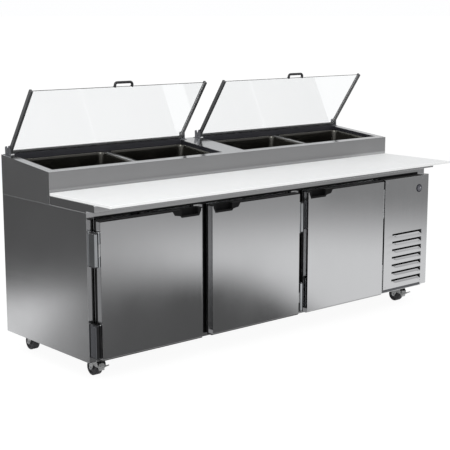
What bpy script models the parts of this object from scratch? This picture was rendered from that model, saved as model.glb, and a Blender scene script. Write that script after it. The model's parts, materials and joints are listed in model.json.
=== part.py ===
"""Refrigerated three-door prep table with a raised pan rail, modelled as separate pieces.

Shop dimensions are inches, measured from the cabinet's lower front left corner:
x to the right, y to the back, z up.  place() turns them into metres in the part's
frame: +Z up, front facing -Y, origin on the floor under the middle of the part.
"""
import math

import bmesh
import bpy
from mathutils import Matrix, Vector

# ---------------------------------------------------------------- driving dimensions
INCH = 0.0254
GAP = 0.012                 # clearance between touching pieces, 0.3 mm

WIDTH = 93.0
DEPTH = 28.9                # door frame plane to the back
BOARD_OVERHANG = 7.35       # board's front edge ahead of the door frame plane
CASTER_HEIGHT = 3.85
BODY_HEIGHT = 27.6          # cabinet bottom to the seam under the counter

WALL = 1.5
FRAME_DEPTH = 1.0
SILL_HEIGHT = 1.3
HEADER_BOTTOM = 26.45
MULLION_WIDTH = 3.4

COUNTER_TOP = 29.27
NOSE_REACH = 2.58
NOSE_BOTTOM = 27.91
BOARD_THICKNESS = 0.5

RAIL_FRONT = 11.9
RAIL_FRONT_TOP = 33.64
RAIL_BACK_TOP = 35.38
RAIL_SKIN = 0.25
RAIL_WALL = 0.9
RAIL_SLOPE = (RAIL_BACK_TOP - RAIL_FRONT_TOP) / (DEPTH - RAIL_FRONT)
RAIL_TILT = math.atan(RAIL_SLOPE)

OPENING_MARGIN = 1.75       # rail end to opening
OPENING_WIDTH = 41.75
OPENING_FRONT = 13.5
OPENING_BACK = 27.35
COLLAR_WALL = 0.22
COLLAR_LEDGE = (0.33, 0.55)  # how far the pan ledges reach in, along x and y
LEDGE_LEVEL = -0.95         # top of the pan ledges below the rail's top face
PAN_LEVEL = -0.66           # pan rim below the rail's top face
PAN_DEPTH = 5.8
PAN_SIZE = (20.3, 12.7)
DIVIDER_WIDTH = 0.5

DOOR_FRONT = -2.19
DOOR_BACK = -0.45
DOOR_WIDTH = 23.4
DOOR_PITCH = 25.95
DOOR_LEFT = 1.45
DOOR_BOTTOM = 0.52
DOOR_TOP = 26.28
CAP_HEIGHT = 0.22

PIVOT_SIDE = 0.22           # hinge axis beyond the door's edge
PIVOT_FRONT = 0.24          # hinge axis behind the door's front
PIVOT_Y = DOOR_FRONT + PIVOT_FRONT
HINGE_SPANS = ((1.1, 7.3), (17.9, 24.2))
KNUCKLE_RADIUS = 0.18
KNUCKLE_LENGTH = 2.0
PIN_RADIUS = 0.09

SHELF_LEVEL = 12.5
SHELF_LEDGE = 0.3           # thickness of the ledges under the shelves

BAY_COUNT = 3
DOOR_HINGE_LEFT = (True, False, False)

BULKHEAD_X = 77.2
BULKHEAD_THICKNESS = 1.0
SURROUND_LEFT = 77.6
SURROUND_FRONT = -1.4
PANEL_LEFT = 77.25
PANEL_RIGHT = 90.65
PANEL_FRONT = -2.19
PANEL_BOTTOM = 1.27
PANEL_TOP = 26.3
LOUVRE_COUNT = 7
LOUVRE_PITCH = 1.735
LOUVRE_LEFT = 80.0
LOUVRE_RIGHT = 90.0
LOUVRE_TOP = 13.95
LOUVRE_SLOT = 0.42

LID_PIVOT_Y = 27.9
LID_PIVOT_RISE = 0.55
LID_LENGTH = 14.8
LID_WIDTH = 42.9
LID_ANGLE = math.radians(124.5)     # from +y, at rest: standing open, leaning forward
LID_BAR = 0.5
LID_DEPTH = 0.75
LID_TUBE_RADIUS = 0.42      # black tube along the hinge line, which grips the pane
LID_PIN_RADIUS = 0.11
HANDLE_GRIP = 4.2
HANDLE_RISE = 0.62
HANDLE_BEND = 0.5
HANDLE_STUB = 0.25          # straight foot of the handle, in line with the pane
HANDLE_LEAN = math.radians(34.5)    # the handle leans out from the pane's plane
HANDLE_ROD = 0.28
HANDLE_OFFSET = 0.02        # of the feet, out from the pane's top face

HINGE_FOOT = 0.12           # thickness of a hinge's foot on the frame
HINGE_SHEET = 0.07          # half the thickness of a hinge's arm and webs
HINGE_REACH = -1.0          # far edge of the foot and cover, from the hinge axis
NARROW_REACH = -0.42        # the same for the hinge beside the machine bay, which has no cover
COVER_EDGE = -0.36          # near edge of the cover block
COVER_FRONT = -2.08

POCKET_DEPTH = 1.25         # of the door cap's finger pocket
POCKET_SPAN = (0.85, 5.1)   # in from the door's free edge
POCKET_FLOOR = 1.42         # below the door's top
POCKET_LIP = 0.25
GASKET_INSET = 0.35
GASKET_WIDTH = 0.55

HOOD_REACH = 0.16
DIAL_X = 88.7
DIAL_LEVEL = 23.5
FAN_HUB = 0.8
SHAFT_RADIUS = 0.2
BLADE_SHEET = 0.1
BLADE_CHORD = (0.5, 1.1)    # half widths at the hub and at the tip

EVAPORATOR_X = (34.5, 58.5)
EVAPORATOR_Z = (17.5, 26.8)
EVAPORATOR_FRONT = 24.0
EVAPORATOR_FAN_LEVEL = 22.0
CONDENSER_X = (79.6, 90.2)
CONDENSER_Y = (4.0, 5.4)
CONDENSER_TOP = 13.2
CONDENSER_FAN_LEVEL = 7.6
COMPRESSOR_PLACE = (84.5, 17.0)
GLAND_PLACE = (85.0, 7.0)

CASTER_PLATE = (1.75, 1.25, 0.14)   # half width, half depth and drop of the mounting plate
AXLE_RADIUS = 0.16
FORK_CLEARANCE = 0.1        # between the wheel and each side plate
BRAKE_AHEAD = 0.9           # brake pin ahead of the kingpin
BRAKE_LEVEL = -1.6
BRAKE_PIN_RADIUS = 0.1
CASTER_X = 3.9
CASTER_ROWS = (3.0, 24.8)
CASTER_TRAIL = 1.1
FORK_TOP = (-0.46, -0.2)    # swivel plate of a caster, below the cabinet's bottom
FORK_SHEET = 0.11
KINGPIN_RADIUS = 0.25
WHEEL_RADIUS = 1.5
WHEEL_WIDTH = 1.5

FACE_Y = (BOARD_OVERHANG - DEPTH) / 2 * INCH    # door frame plane in the part's frame


# ---------------------------------------------------------------- frame and materials
def place(x, y, z):
    """Shop inches to metres in the part's frame."""
    return Vector(((x - WIDTH / 2) * INCH, FACE_Y + y * INCH, (z + CASTER_HEIGHT) * INCH))


def rail_top(y):
    return RAIL_FRONT_TOP + (y - RAIL_FRONT) * RAIL_SLOPE


def finish(name, colour, metallic, roughness, alpha=1.0):
    material = bpy.data.materials.new(name)
    material.use_nodes = True
    shader = material.node_tree.nodes["Principled BSDF"]
    shader.inputs["Base Color"].default_value = (*colour, 1.0)
    shader.inputs["Metallic"].default_value = metallic
    shader.inputs["Roughness"].default_value = roughness
    shader.inputs["Alpha"].default_value = alpha
    return material


FINISHES = {
    "steel": ((0.46, 0.46, 0.47), 1.0, 0.32),
    "pan_steel": ((0.42, 0.42, 0.42), 1.0, 0.22),
    "zinc": ((0.50, 0.50, 0.49), 1.0, 0.38),
    "black": ((0.015, 0.015, 0.016), 0.0, 0.35),
    "gasket": ((0.03, 0.03, 0.03), 0.0, 0.75),
    "tyre": ((0.02, 0.02, 0.02), 0.0, 0.6),
    "board": ((0.86, 0.87, 0.86), 0.0, 0.45),
    "clear": ((0.93, 0.95, 0.95), 0.0, 0.05),
    "coil": ((0.60, 0.61, 0.62), 1.0, 0.45),
    "grey": ((0.20, 0.20, 0.24), 0.0, 0.4),
}


def own_material(obj, kind):
    """Each piece has a material of its own, named after the piece."""
    obj.data.materials.clear()
    alpha = 0.3 if kind == "clear" else 1.0
    obj.data.materials.append(finish(obj.name + "_" + kind, *FINISHES[kind], alpha))
    for polygon in obj.data.polygons:
        polygon.material_index = 0


# ---------------------------------------------------------------- mesh building
def mesh_object(name, vertices, faces):
    mesh = bpy.data.meshes.new(name)
    mesh.from_pydata([tuple(v) for v in vertices], [], faces)
    bm = bmesh.new()
    bm.from_mesh(mesh)
    bmesh.ops.recalc_face_normals(bm, faces=bm.faces[:])
    bm.to_mesh(mesh)
    bm.free()
    obj = bpy.data.objects.new(name, mesh)
    bpy.context.collection.objects.link(obj)
    return obj


def loft(name, loops, closed=False):
    """Skin successive loops of equal length; closed joins the last loop to the first."""
    count = len(loops[0])
    vertices = [p for loop in loops for p in loop]
    faces = []
    spans = len(loops) if closed else len(loops) - 1
    for i in range(spans):
        a = i * count
        b = ((i + 1) % len(loops)) * count
        for j in range(count):
            k = (j + 1) % count
            faces.append((a + j, a + k, b + k, b + j))
    if not closed:
        faces.append(tuple(range(count)))
        faces.append(tuple(range(len(vertices) - count, len(vertices))))
    return mesh_object(name, vertices, faces)


def box(name, x, y, z):
    """A box from three (low, high) spans in shop inches."""
    loops = [[place(px, py, pz) for px, py in
              ((x[0], y[0]), (x[1], y[0]), (x[1], y[1]), (x[0], y[1]))] for pz in z]
    return loft(name, loops)


def slab_on_rail(name, x, y, offsets):
    """A box with upright sides whose bottom and top follow the rail's slope."""
    loops = [[place(px, py, rail_top(py) + offset) for px, py in
              ((x[0], y[0]), (x[1], y[0]), (x[1], y[1]), (x[0], y[1]))] for offset in offsets]
    return loft(name, loops)


def extrude_x(name, outline, x):
    """A prism along x from an outline of (y, z) points."""
    return loft(name, [[place(px, py, pz) for py, pz in outline] for px in x])


def extrude_y(name, outline, y):
    """A prism along y from an outline of (x, z) points."""
    return loft(name, [[place(px, py, pz) for px, pz in outline] for py in y])


def turned(name, centre, axis, profile, segments=20):
    """A solid of revolution: profile is a list of (distance along axis, radius)."""
    axis = Vector(axis)
    side = axis.orthogonal().normalized()
    other = axis.cross(side)
    loops = []
    for along, radius in profile:
        loop = []
        for i in range(segments):
            turn = 2 * math.pi * i / segments
            offset = axis * along + (side * math.cos(turn) + other * math.sin(turn)) * radius
            loop.append(place(*(Vector(centre) + offset)))
        loops.append(loop)
    return loft(name, loops)


def ring(name, centre, axis, profile, segments=20):
    """A turned solid with a hole: profile is a closed outline that clears the axis."""
    obj = turned(name, centre, axis, profile + profile[:1], segments)
    bm = bmesh.new()
    bm.from_mesh(obj.data)
    caps = [f for f in bm.faces if len(f.verts) == segments]
    bmesh.ops.delete(bm, geom=caps, context="FACES_ONLY")
    bmesh.ops.remove_doubles(bm, verts=bm.verts[:], dist=1e-6)
    bmesh.ops.recalc_face_normals(bm, faces=bm.faces[:])
    bm.to_mesh(obj.data)
    bm.free()
    return obj


def apply_boolean(obj, tool, operation):
    modifier = obj.modifiers.new(operation, "BOOLEAN")
    modifier.operation = operation
    modifier.solver = "EXACT"
    modifier.object = tool
    evaluated = obj.evaluated_get(bpy.context.evaluated_depsgraph_get())
    mesh = bpy.data.meshes.new_from_object(evaluated)
    obj.modifiers.clear()
    obj.data = mesh
    bpy.data.objects.remove(tool)


def join(obj, *tools):
    for tool in tools:
        apply_boolean(obj, tool, "UNION")
    return obj


def cut(obj, *tools):
    for tool in tools:
        apply_boolean(obj, tool, "DIFFERENCE")
    return obj


def smooth_round(obj, angle):
    obj.data.shade_smooth()
    obj.data.set_sharp_from_angle(angle=math.radians(angle))


def pivot(name, x, y, z):
    """An empty on a joint's axis, which the moving pieces hang from."""
    empty = bpy.data.objects.new(name, None)
    empty.location = place(x, y, z)
    empty.empty_display_size = 0.05
    bpy.context.collection.objects.link(empty)
    return empty


def hang(empty, *pieces):
    bpy.context.view_layer.update()
    for piece in pieces:
        piece.parent = empty
        piece.matrix_parent_inverse = empty.matrix_world.inverted()


def done(obj, kind, empty=None, angle=40):
    """Give a finished piece its material and shading, and hang it from its pivot."""
    smooth_round(obj, angle)
    own_material(obj, kind)
    if empty is not None:
        hang(empty, obj)
    return obj


# ---------------------------------------------------------------- cabinet
def ledge_span():
    """Span along z of the ledges that carry the shelves."""
    return SHELF_LEVEL - SHELF_LEDGE, SHELF_LEVEL


def side_panels():
    body = (0, BODY_HEIGHT)
    left = box("side_panel_left", (0, WALL), (0, DEPTH), body)
    join(left, box("ledge", (WALL - 0.1, WALL + 1.2), (1.3, 3.0), ledge_span()))
    done(left, "steel")
    done(box("side_panel_right", (WIDTH - WALL, WIDTH), (0, DEPTH), body), "steel")


def back_panel():
    inner = (WALL + GAP, WIDTH - WALL - GAP)
    panel = box("back_panel", inner, (DEPTH - WALL, DEPTH), (0, BODY_HEIGHT))
    ledge = box("ledge", (3.0, 76.0), (DEPTH - WALL - 1.2, DEPTH - WALL + 0.1), ledge_span())
    recess = box("recess", (83.5, 86.5), (DEPTH - 0.9, DEPTH + 1), (5.5, 8.5))
    cut(join(panel, ledge), recess)
    done(panel, "steel")
    gland = ring("cord_gland", (GLAND_PLACE[0], DEPTH - 0.9 + GAP, GLAND_PLACE[1]), (0, 1, 0),
                 [(0, 0.3), (0, 0.9), (0.2, 0.9), (0.2, 0.6), (0.7, 0.5), (0.7, 0.3)], 16)
    done(gland, "black")


def floor_pan():
    inner = (WALL + GAP, WIDTH - WALL - GAP)
    pan = box("floor_pan", inner, (FRAME_DEPTH + GAP, DEPTH - WALL - GAP), (0, WALL))
    half_width, half_depth, drop = CASTER_PLATE
    for x, y in caster_places():
        plate = box("plate", (x - half_width, x + half_width), (y - half_depth, y + half_depth),
                    (-drop, 0.1))
        kingpin = turned("kingpin", (x, y, 0), (0, 0, -1),
                         [(-0.05, KINGPIN_RADIUS), (0.52, KINGPIN_RADIUS), (0.52, 0.42),
                          (0.66, 0.36)], 16)
        join(pan, plate, kingpin)
    done(pan, "steel")


def mullion_spans():
    """Spans along x of the uprights between the door openings."""
    spans = []
    for i in range(1, BAY_COUNT):
        middle = DOOR_LEFT + DOOR_PITCH * i - (DOOR_PITCH - DOOR_WIDTH) / 2
        spans.append((middle - MULLION_WIDTH / 2, middle + MULLION_WIDTH / 2))
    return spans


def bay_spans():
    """Clear spans along x of the three door openings."""
    edges = [WALL + 0.6]
    for low, high in mullion_spans():
        edges += [low, high]
    edges.append(BULKHEAD_X - 0.7)
    return [(edges[2 * i], edges[2 * i + 1]) for i in range(BAY_COUNT)]


def face_frame():
    inner = (WALL + GAP, WIDTH - WALL - GAP)
    frame = box("face_frame", inner, (0, FRAME_DEPTH), (0, BODY_HEIGHT))
    for low, high in bay_spans():
        cut(frame, box("bay", (low, high), (-1, 2), (SILL_HEIGHT, HEADER_BOTTOM)))
    cut(frame, box("machine", (SURROUND_LEFT + 1.4, WIDTH - WALL - 0.8), (-1, 2), (1.6, 25.6)))
    for low, high in mullion_spans():
        join(frame, box("ledge", (low, high), (0.9, 2.6), ledge_span()))
    done(frame, "steel")


def machine_surround():
    outer = box("machine_surround", (SURROUND_LEFT, WIDTH), (SURROUND_FRONT, -GAP), (0.75, 26.3))
    cut(outer, box("inside", (SURROUND_LEFT + 0.5, PANEL_RIGHT - 0.5), (-3, 1), (1.5, 25.7)))
    done(outer, "steel")


def machine_bulkhead():
    span = (BULKHEAD_X, BULKHEAD_X + BULKHEAD_THICKNESS)
    wall = box("machine_bulkhead", span, (FRAME_DEPTH + GAP, DEPTH - WALL - GAP),
               (WALL + GAP, BODY_HEIGHT - 0.3))
    cut(wall, box("ledge_room", (BULKHEAD_X - 1, BULKHEAD_X + 0.2), (25, DEPTH), (12, 12.7)))
    done(wall, "coil")


def counter():
    back = RAIL_FRONT - GAP
    seam = BODY_HEIGHT + GAP
    outline = [(-NOSE_REACH, COUNTER_TOP), (-NOSE_REACH, NOSE_BOTTOM), (-GAP, NOSE_BOTTOM),
               (-GAP, seam), (back, seam), (back, COUNTER_TOP)]
    done(extrude_x("counter_top", outline, (0, WIDTH)), "steel")


def cutting_board():
    low = COUNTER_TOP + GAP
    lift = pivot("cutting_board_lift", WIDTH / 2, 2.3, low)
    board = box("cutting_board", (0.05, WIDTH - 0.05), (-BOARD_OVERHANG, RAIL_FRONT - 0.02),
                (low, low + BOARD_THICKNESS))
    done(board, "board", lift)


# ---------------------------------------------------------------- pan rail
def opening_span(side):
    """Span along x of one of the two rail openings; side 0 is the left one."""
    left = OPENING_MARGIN
    if side:
        left = WIDTH - OPENING_MARGIN - OPENING_WIDTH
    return left, left + OPENING_WIDTH


def lid_span(side):
    low, high = opening_span(side)
    middle = (low + high) / 2
    return middle - LID_WIDTH / 2, middle + LID_WIDTH / 2


def lid_pivot_z():
    return rail_top(LID_PIVOT_Y) + LID_PIVOT_RISE


def lid_post(x, inward):
    """A fixed two-pronged bracket with the pin that one lid arm turns on."""
    base = rail_top(LID_PIVOT_Y)
    prongs = [(-0.65, -0.12), (0.8, -0.12), (0.8, 1.45), (0.62, 1.5), (0.3, 0.95), (-0.1, 0.95),
              (-0.42, 1.6), (-0.6, 1.55)]
    outline = [(LID_PIVOT_Y + y, base + z) for y, z in prongs]
    bracket = extrude_x("bracket", outline, sorted((x - inward * 0.05, x - inward * 0.25)))
    pin = turned("pin", (x - inward * 0.1, LID_PIVOT_Y, lid_pivot_z()), (inward, 0, 0),
                 [(0, LID_PIN_RADIUS), (0.1 + LID_BAR, LID_PIN_RADIUS)], 12)
    return join(bracket, pin)


def rail_housing():
    seam = BODY_HEIGHT + GAP
    outline = [(RAIL_FRONT, seam), (DEPTH, seam), (DEPTH, RAIL_BACK_TOP),
               (RAIL_FRONT, RAIL_FRONT_TOP)]
    rail = extrude_x("rail_housing", outline, (0, WIDTH))
    front = RAIL_FRONT + RAIL_WALL
    back = DEPTH - RAIL_WALL
    hollow = [(front, seam - 1), (back, seam - 1), (back, rail_top(back) - RAIL_SKIN),
              (front, rail_top(front) - RAIL_SKIN)]
    cut(rail, extrude_x("hollow", hollow, (RAIL_WALL, WIDTH - RAIL_WALL)))
    for side in range(2):
        cut(rail, slab_on_rail("opening", opening_span(side), (OPENING_FRONT, OPENING_BACK),
                               (-2, 2)))
        low, high = lid_span(side)
        join(rail, lid_post(low, 1), lid_post(high, -1))
    done(rail, "steel")


def collar(side, label):
    """Black liner of an opening, with a raised lip at the back and the pan ledges inside."""
    low, high = opening_span(side)
    outer_x = (low + GAP, high - GAP)
    outer_y = (OPENING_FRONT + GAP, OPENING_BACK - GAP)
    inner_x = (low + COLLAR_WALL, high - COLLAR_WALL)
    inner_y = (OPENING_FRONT + COLLAR_WALL, OPENING_BACK - COLLAR_WALL)
    through_x = (inner_x[0] + COLLAR_LEDGE[0], inner_x[1] - COLLAR_LEDGE[0])
    through_y = (inner_y[0] + COLLAR_LEDGE[1], inner_y[1] - COLLAR_LEDGE[1])
    frame = slab_on_rail("collar_" + label, outer_x, outer_y, (-1.3, -0.04))
    cut(frame, slab_on_rail("clear", inner_x, inner_y, (LEDGE_LEVEL, 1)))
    cut(frame, slab_on_rail("through", through_x, through_y, (-2, 1)))
    lip_x = (low + 0.3, high - 0.3)
    lip = slab_on_rail("lip", lip_x, (OPENING_BACK - 0.2, OPENING_BACK + 0.07), (GAP, 0.3))
    foot = slab_on_rail("foot", lip_x, (OPENING_BACK - 0.2, OPENING_BACK - GAP), (-0.2, 0.2))
    return done(join(frame, foot, lip), "black")


def divider(side, label):
    low, high = opening_span(side)
    middle = (low + high) / 2
    x = (middle - DIVIDER_WIDTH / 2, middle + DIVIDER_WIDTH / 2)
    y = (OPENING_FRONT + COLLAR_WALL + GAP, OPENING_BACK - COLLAR_WALL - GAP)
    low = LEDGE_LEVEL + GAP
    bar = slab_on_rail("divider_" + label, x, y, (low, PAN_LEVEL))
    flange = slab_on_rail("flange", (x[0] - 0.35, x[1] + 0.35), y, (low, low + 0.11))
    return done(join(bar, flange), "steel")


def rounded_rectangle(half_x, half_y, radius, height, steps=3):
    points = []
    for quarter in range(4):
        sx = (1, -1, -1, 1)[quarter]
        sy = (1, 1, -1, -1)[quarter]
        for step in range(steps + 1):
            turn = math.pi / 2 * (quarter + step / steps)
            points.append(Vector((sx * (half_x - radius) + radius * math.cos(turn),
                                  sy * (half_y - radius) + radius * math.sin(turn), height)))
    return points


def pan_centre(index):
    low, high = opening_span(index // 2)
    middle = (low + high) / 2
    reach = DIVIDER_WIDTH / 2 + GAP + 0.02 + PAN_SIZE[0] / 2
    x = middle + (reach if index % 2 else -reach)
    y = (OPENING_FRONT + OPENING_BACK) / 2
    return x, y, rail_top(y) + PAN_LEVEL


def pan(index):
    half_x = PAN_SIZE[0] / 2
    half_y = PAN_SIZE[1] / 2
    lip = 0.12
    sheet = 0.09
    neck_x = half_x - 0.62
    neck_y = half_y - 0.62
    foot_x = half_x - 1.5
    foot_y = half_y - 1.5
    sections = [
        (foot_x - sheet, foot_y - sheet, 1.4, sheet - PAN_DEPTH),
        (neck_x - sheet, neck_y - sheet, 1.3, 0),
        (half_x, half_y, 0.7, 0),
        (half_x, half_y, 0.7, -lip),
        (neck_x, neck_y, 1.3, -lip),
        (foot_x, foot_y, 1.4, -PAN_DEPTH),
    ]
    centre = Vector(pan_centre(index))
    tilt = Matrix.Rotation(RAIL_TILT, 3, "X")
    loops = []
    for section in sections:
        loops.append([place(*(centre + tilt @ p)) for p in rounded_rectangle(*section)])
    tray = loft("food_pan_%d" % (index + 1), loops)
    done(tray, "pan_steel", pivot("food_pan_%d_lift" % (index + 1), *centre), angle=50)


def in_lid(side, x, along, out):
    """A point of an open lid: along its length from the pivot, and out from its top face."""
    y = LID_PIVOT_Y + along * math.cos(LID_ANGLE) + out * math.sin(LID_ANGLE)
    z = lid_pivot_z() + along * math.sin(LID_ANGLE) - out * math.cos(LID_ANGLE)
    return lid_span(side)[0] + x, y, z


def lid_box(name, side, x, along, out):
    loops = []
    for reach in along:
        corners = ((x[0], out[0]), (x[1], out[0]), (x[1], out[1]), (x[0], out[1]))
        loops.append([place(*in_lid(side, px, reach, po)) for px, po in corners])
    return loft(name, loops)


def lid(side, label):
    """Open lid: two side bars on a tube along the hinge line, a clear pane and a pull."""
    hinge = pivot("lid_%s_hinge" % label, *in_lid(side, LID_WIDTH / 2, 0, 0))
    half = LID_DEPTH / 2
    tube_end = 0.02
    frame = turned("lid_frame_" + label, in_lid(side, tube_end, 0, 0), (1, 0, 0),
                   [(0, LID_TUBE_RADIUS), (LID_WIDTH - 2 * tube_end, LID_TUBE_RADIUS)], 16)
    for x in ((0, LID_BAR), (LID_WIDTH - LID_BAR, LID_WIDTH)):
        join(frame, lid_box("bar", side, x, (0.1, LID_LENGTH + 0.1), (-half, half)))
    bore_depth = LID_BAR + 0.1
    for start in (-1, LID_WIDTH - bore_depth):
        cut(frame, turned("bore", in_lid(side, start, 0, 0), (1, 0, 0),
                          [(0, LID_PIN_RADIUS + GAP), (1 + bore_depth, LID_PIN_RADIUS + GAP)], 12))
    done(frame, "black", hinge)
    pane = lid_box("lid_pane_" + label, side, (LID_BAR + GAP, LID_WIDTH - LID_BAR - GAP),
                   (LID_TUBE_RADIUS + GAP, LID_LENGTH), (-0.08, 0.12))
    done(pane, "clear", hinge)
    lid_handle(side, label, hinge)


def lid_handle(side, label, hinge):
    """Bent rod on the pane's front edge, leaning out from the pane above its two feet."""
    middle = LID_WIDTH / 2
    half_grip = HANDLE_GRIP / 2
    steps = 4
    path = []
    for sign in (-1, 1):
        leg = [(middle + sign * half_grip, 0.0, 0.0)]
        for step in range(steps + 1):
            turn = math.pi / 2 * step / steps
            up = HANDLE_RISE - HANDLE_BEND * (1 - math.sin(turn))
            leg.append((middle + sign * (half_grip - HANDLE_BEND * (1 - math.cos(turn))),
                        HANDLE_STUB + up * math.cos(HANDLE_LEAN), up * math.sin(HANDLE_LEAN)))
        leg.insert(1, (middle + sign * half_grip, HANDLE_STUB, 0.0))
        path += leg if sign < 0 else leg[::-1]
    curve = bpy.data.curves.new("lid_handle_" + label, "CURVE")
    curve.dimensions = "3D"
    curve.bevel_depth = HANDLE_ROD * INCH
    curve.bevel_resolution = 1
    curve.use_fill_caps = True
    spline = curve.splines.new("POLY")
    spline.points.add(len(path) - 1)
    base = LID_LENGTH + GAP
    for point, (x, along, out) in zip(spline.points, path):
        point.co = (*place(*in_lid(side, x, base + along, HANDLE_OFFSET + out)), 1.0)
    handle = bpy.data.objects.new("lid_handle_" + label, curve)
    bpy.context.collection.objects.link(handle)
    done_curve(handle, "black", hinge)


def done_curve(obj, kind, empty):
    obj.data.materials.append(finish(obj.name + "_" + kind, *FINISHES[kind]))
    hang(empty, obj)


# ---------------------------------------------------------------- doors
def door_edges(index):
    left = DOOR_LEFT + DOOR_PITCH * index
    return left, left + DOOR_WIDTH


def door_sense(index):
    """+1 where the door lies on the +x side of its hinge."""
    return 1 if DOOR_HINGE_LEFT[index] else -1


def door_pivot_x(index):
    left, right = door_edges(index)
    return left - PIVOT_SIDE if DOOR_HINGE_LEFT[index] else right + PIVOT_SIDE


def pocket_outline(index, grow):
    """The handle pocket's outline on the door's front, measured in from the free edge."""
    left, right = door_edges(index)
    free = right if DOOR_HINGE_LEFT[index] else left
    inward = -1 if DOOR_HINGE_LEFT[index] else 1
    # Each corner: its place, then the way it moves when the outline grows.
    corners = ((0.25, 0.2, -1, 0), (0.25, -0.55, -1, -0.5), (0.75, -1.55, -0.5, -1),
               (5.0, -1.55, 0.5, -1), (5.3, -1.2, 0.5, -1), (6.65, -0.95, 0.5, -1),
               (7.4, 0.2, 1.3, 0))
    return [(free + inward * (x + grow * out_x), DOOR_TOP + z + grow * out_z)
            for x, z, out_x, out_z in corners]


def across(index, near, far):
    """A span along x measured from the hinge axis towards the door."""
    x = door_pivot_x(index)
    return tuple(sorted((x + door_sense(index) * near, x + door_sense(index) * far)))


def door(index):
    number = index + 1
    left, right = door_edges(index)
    axis_x = door_pivot_x(index)
    hinge = pivot("door_%d_hinge" % number, axis_x, PIVOT_Y, 12.0)
    top = DOOR_TOP - CAP_HEIGHT
    shell = box("door_shell_%d" % number, (left, right), (DOOR_FRONT, DOOR_BACK),
                (DOOR_BOTTOM, top - GAP))
    cut(shell, extrude_y("pocket", pocket_outline(index, GAP),
                         (DOOR_FRONT - 1, DOOR_FRONT + POCKET_DEPTH + GAP)))
    for low, high in HINGE_SPANS:
        span = (low + KNUCKLE_LENGTH + GAP, high - KNUCKLE_LENGTH - GAP)
        knuckle = turned("knuckle", (axis_x, PIVOT_Y, span[0]), (0, 0, 1),
                         [(0, KNUCKLE_RADIUS), (span[1] - span[0], KNUCKLE_RADIUS)], 16)
        link = box("link", across(index, 0.05, PIVOT_SIDE + 0.1),
                   (PIVOT_Y - 0.1, PIVOT_Y + 0.1), span)
        bore = turned("bore", (axis_x, PIVOT_Y, span[0] - 1), (0, 0, 1),
                      [(0, PIN_RADIUS + GAP), (span[1] - span[0] + 2, PIN_RADIUS + GAP)], 12)
        cut(join(shell, join(knuckle, link)), bore)
    done(shell, "steel", hinge)
    done(door_cap(index, top), "black", hinge)
    done(door_gasket(index), "gasket", hinge)


def door_cap(index, top):
    """Black top cap with the finger pocket, one moulding."""
    left, right = door_edges(index)
    cap = box("door_cap_%d" % (index + 1), (left, right), (DOOR_FRONT, DOOR_BACK), (top, DOOR_TOP))
    body = extrude_y("body", pocket_outline(index, 0), (DOOR_FRONT, DOOR_FRONT + POCKET_DEPTH))
    cut(body, box("trim", (left - 1, right + 1), (-4, 4), (DOOR_TOP - 0.01, DOOR_TOP + 1)))
    join(cap, body)
    free = right if DOOR_HINGE_LEFT[index] else left
    inward = -1 if DOOR_HINGE_LEFT[index] else 1
    x = sorted(free + inward * reach for reach in POCKET_SPAN)
    floor = DOOR_TOP - POCKET_FLOOR
    cut(cap, box("scoop", x, (DOOR_FRONT + 0.14, DOOR_FRONT + 1.1), (floor, DOOR_TOP + 1)))
    cut(cap, box("mouth", (x[0] + 0.1, x[1] - 0.1), (DOOR_FRONT - 1, DOOR_FRONT + 0.5),
                 (floor + POCKET_LIP, DOOR_TOP + 1)))
    return cap


def door_gasket(index):
    left, right = door_edges(index)
    x = (left + GASKET_INSET, right - GASKET_INSET)
    z = (DOOR_BOTTOM + GASKET_INSET, DOOR_TOP - GASKET_INSET)
    seal = box("door_gasket_%d" % (index + 1), x, (DOOR_BACK + GAP, -GAP), z)
    cut(seal, box("inside", (x[0] + GASKET_WIDTH, x[1] - GASKET_WIDTH), (-2, 1),
                  (z[0] + GASKET_WIDTH, z[1] - GASKET_WIDTH)))
    return seal


def hinge_bracket(index, which):
    """Fixed hinge half: foot on the frame, arm, pin, two knuckles and a cover block."""
    low, high = HINGE_SPANS[which]
    axis_x = door_pivot_x(index)
    narrow = index == BAY_COUNT - 1
    reach = NARROW_REACH if narrow else HINGE_REACH
    sheet = (-HINGE_SHEET, HINGE_SHEET)
    name = "hinge_bracket_%d_%s" % (index + 1, ("lower", "upper")[which])
    bracket = box(name, across(index, reach, HINGE_SHEET), (-HINGE_FOOT, -GAP), (low, high))
    arm = box("arm", across(index, *sheet), (PIVOT_Y + 0.24, -0.06), (low, high))
    join(bracket, arm)
    pin = turned("pin", (axis_x, PIVOT_Y, low + 0.1), (0, 0, 1),
                 [(0, PIN_RADIUS), (high - low - 0.2, PIN_RADIUS)], 12)
    for start in (low, high - KNUCKLE_LENGTH):
        knuckle = turned("knuckle", (axis_x, PIVOT_Y, start), (0, 0, 1),
                         [(0, KNUCKLE_RADIUS), (KNUCKLE_LENGTH, KNUCKLE_RADIUS)], 16)
        web = box("web", across(index, *sheet), (PIVOT_Y, PIVOT_Y + 0.3),
                  (start, start + KNUCKLE_LENGTH))
        join(bracket, join(knuckle, web))
    join(bracket, pin)
    if not narrow:
        cover = box("cover", across(index, HINGE_REACH, COVER_EDGE),
                    (COVER_FRONT, -HINGE_FOOT / 2), (low, high))
        join(bracket, cover)
    done(bracket, "zinc")


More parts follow.
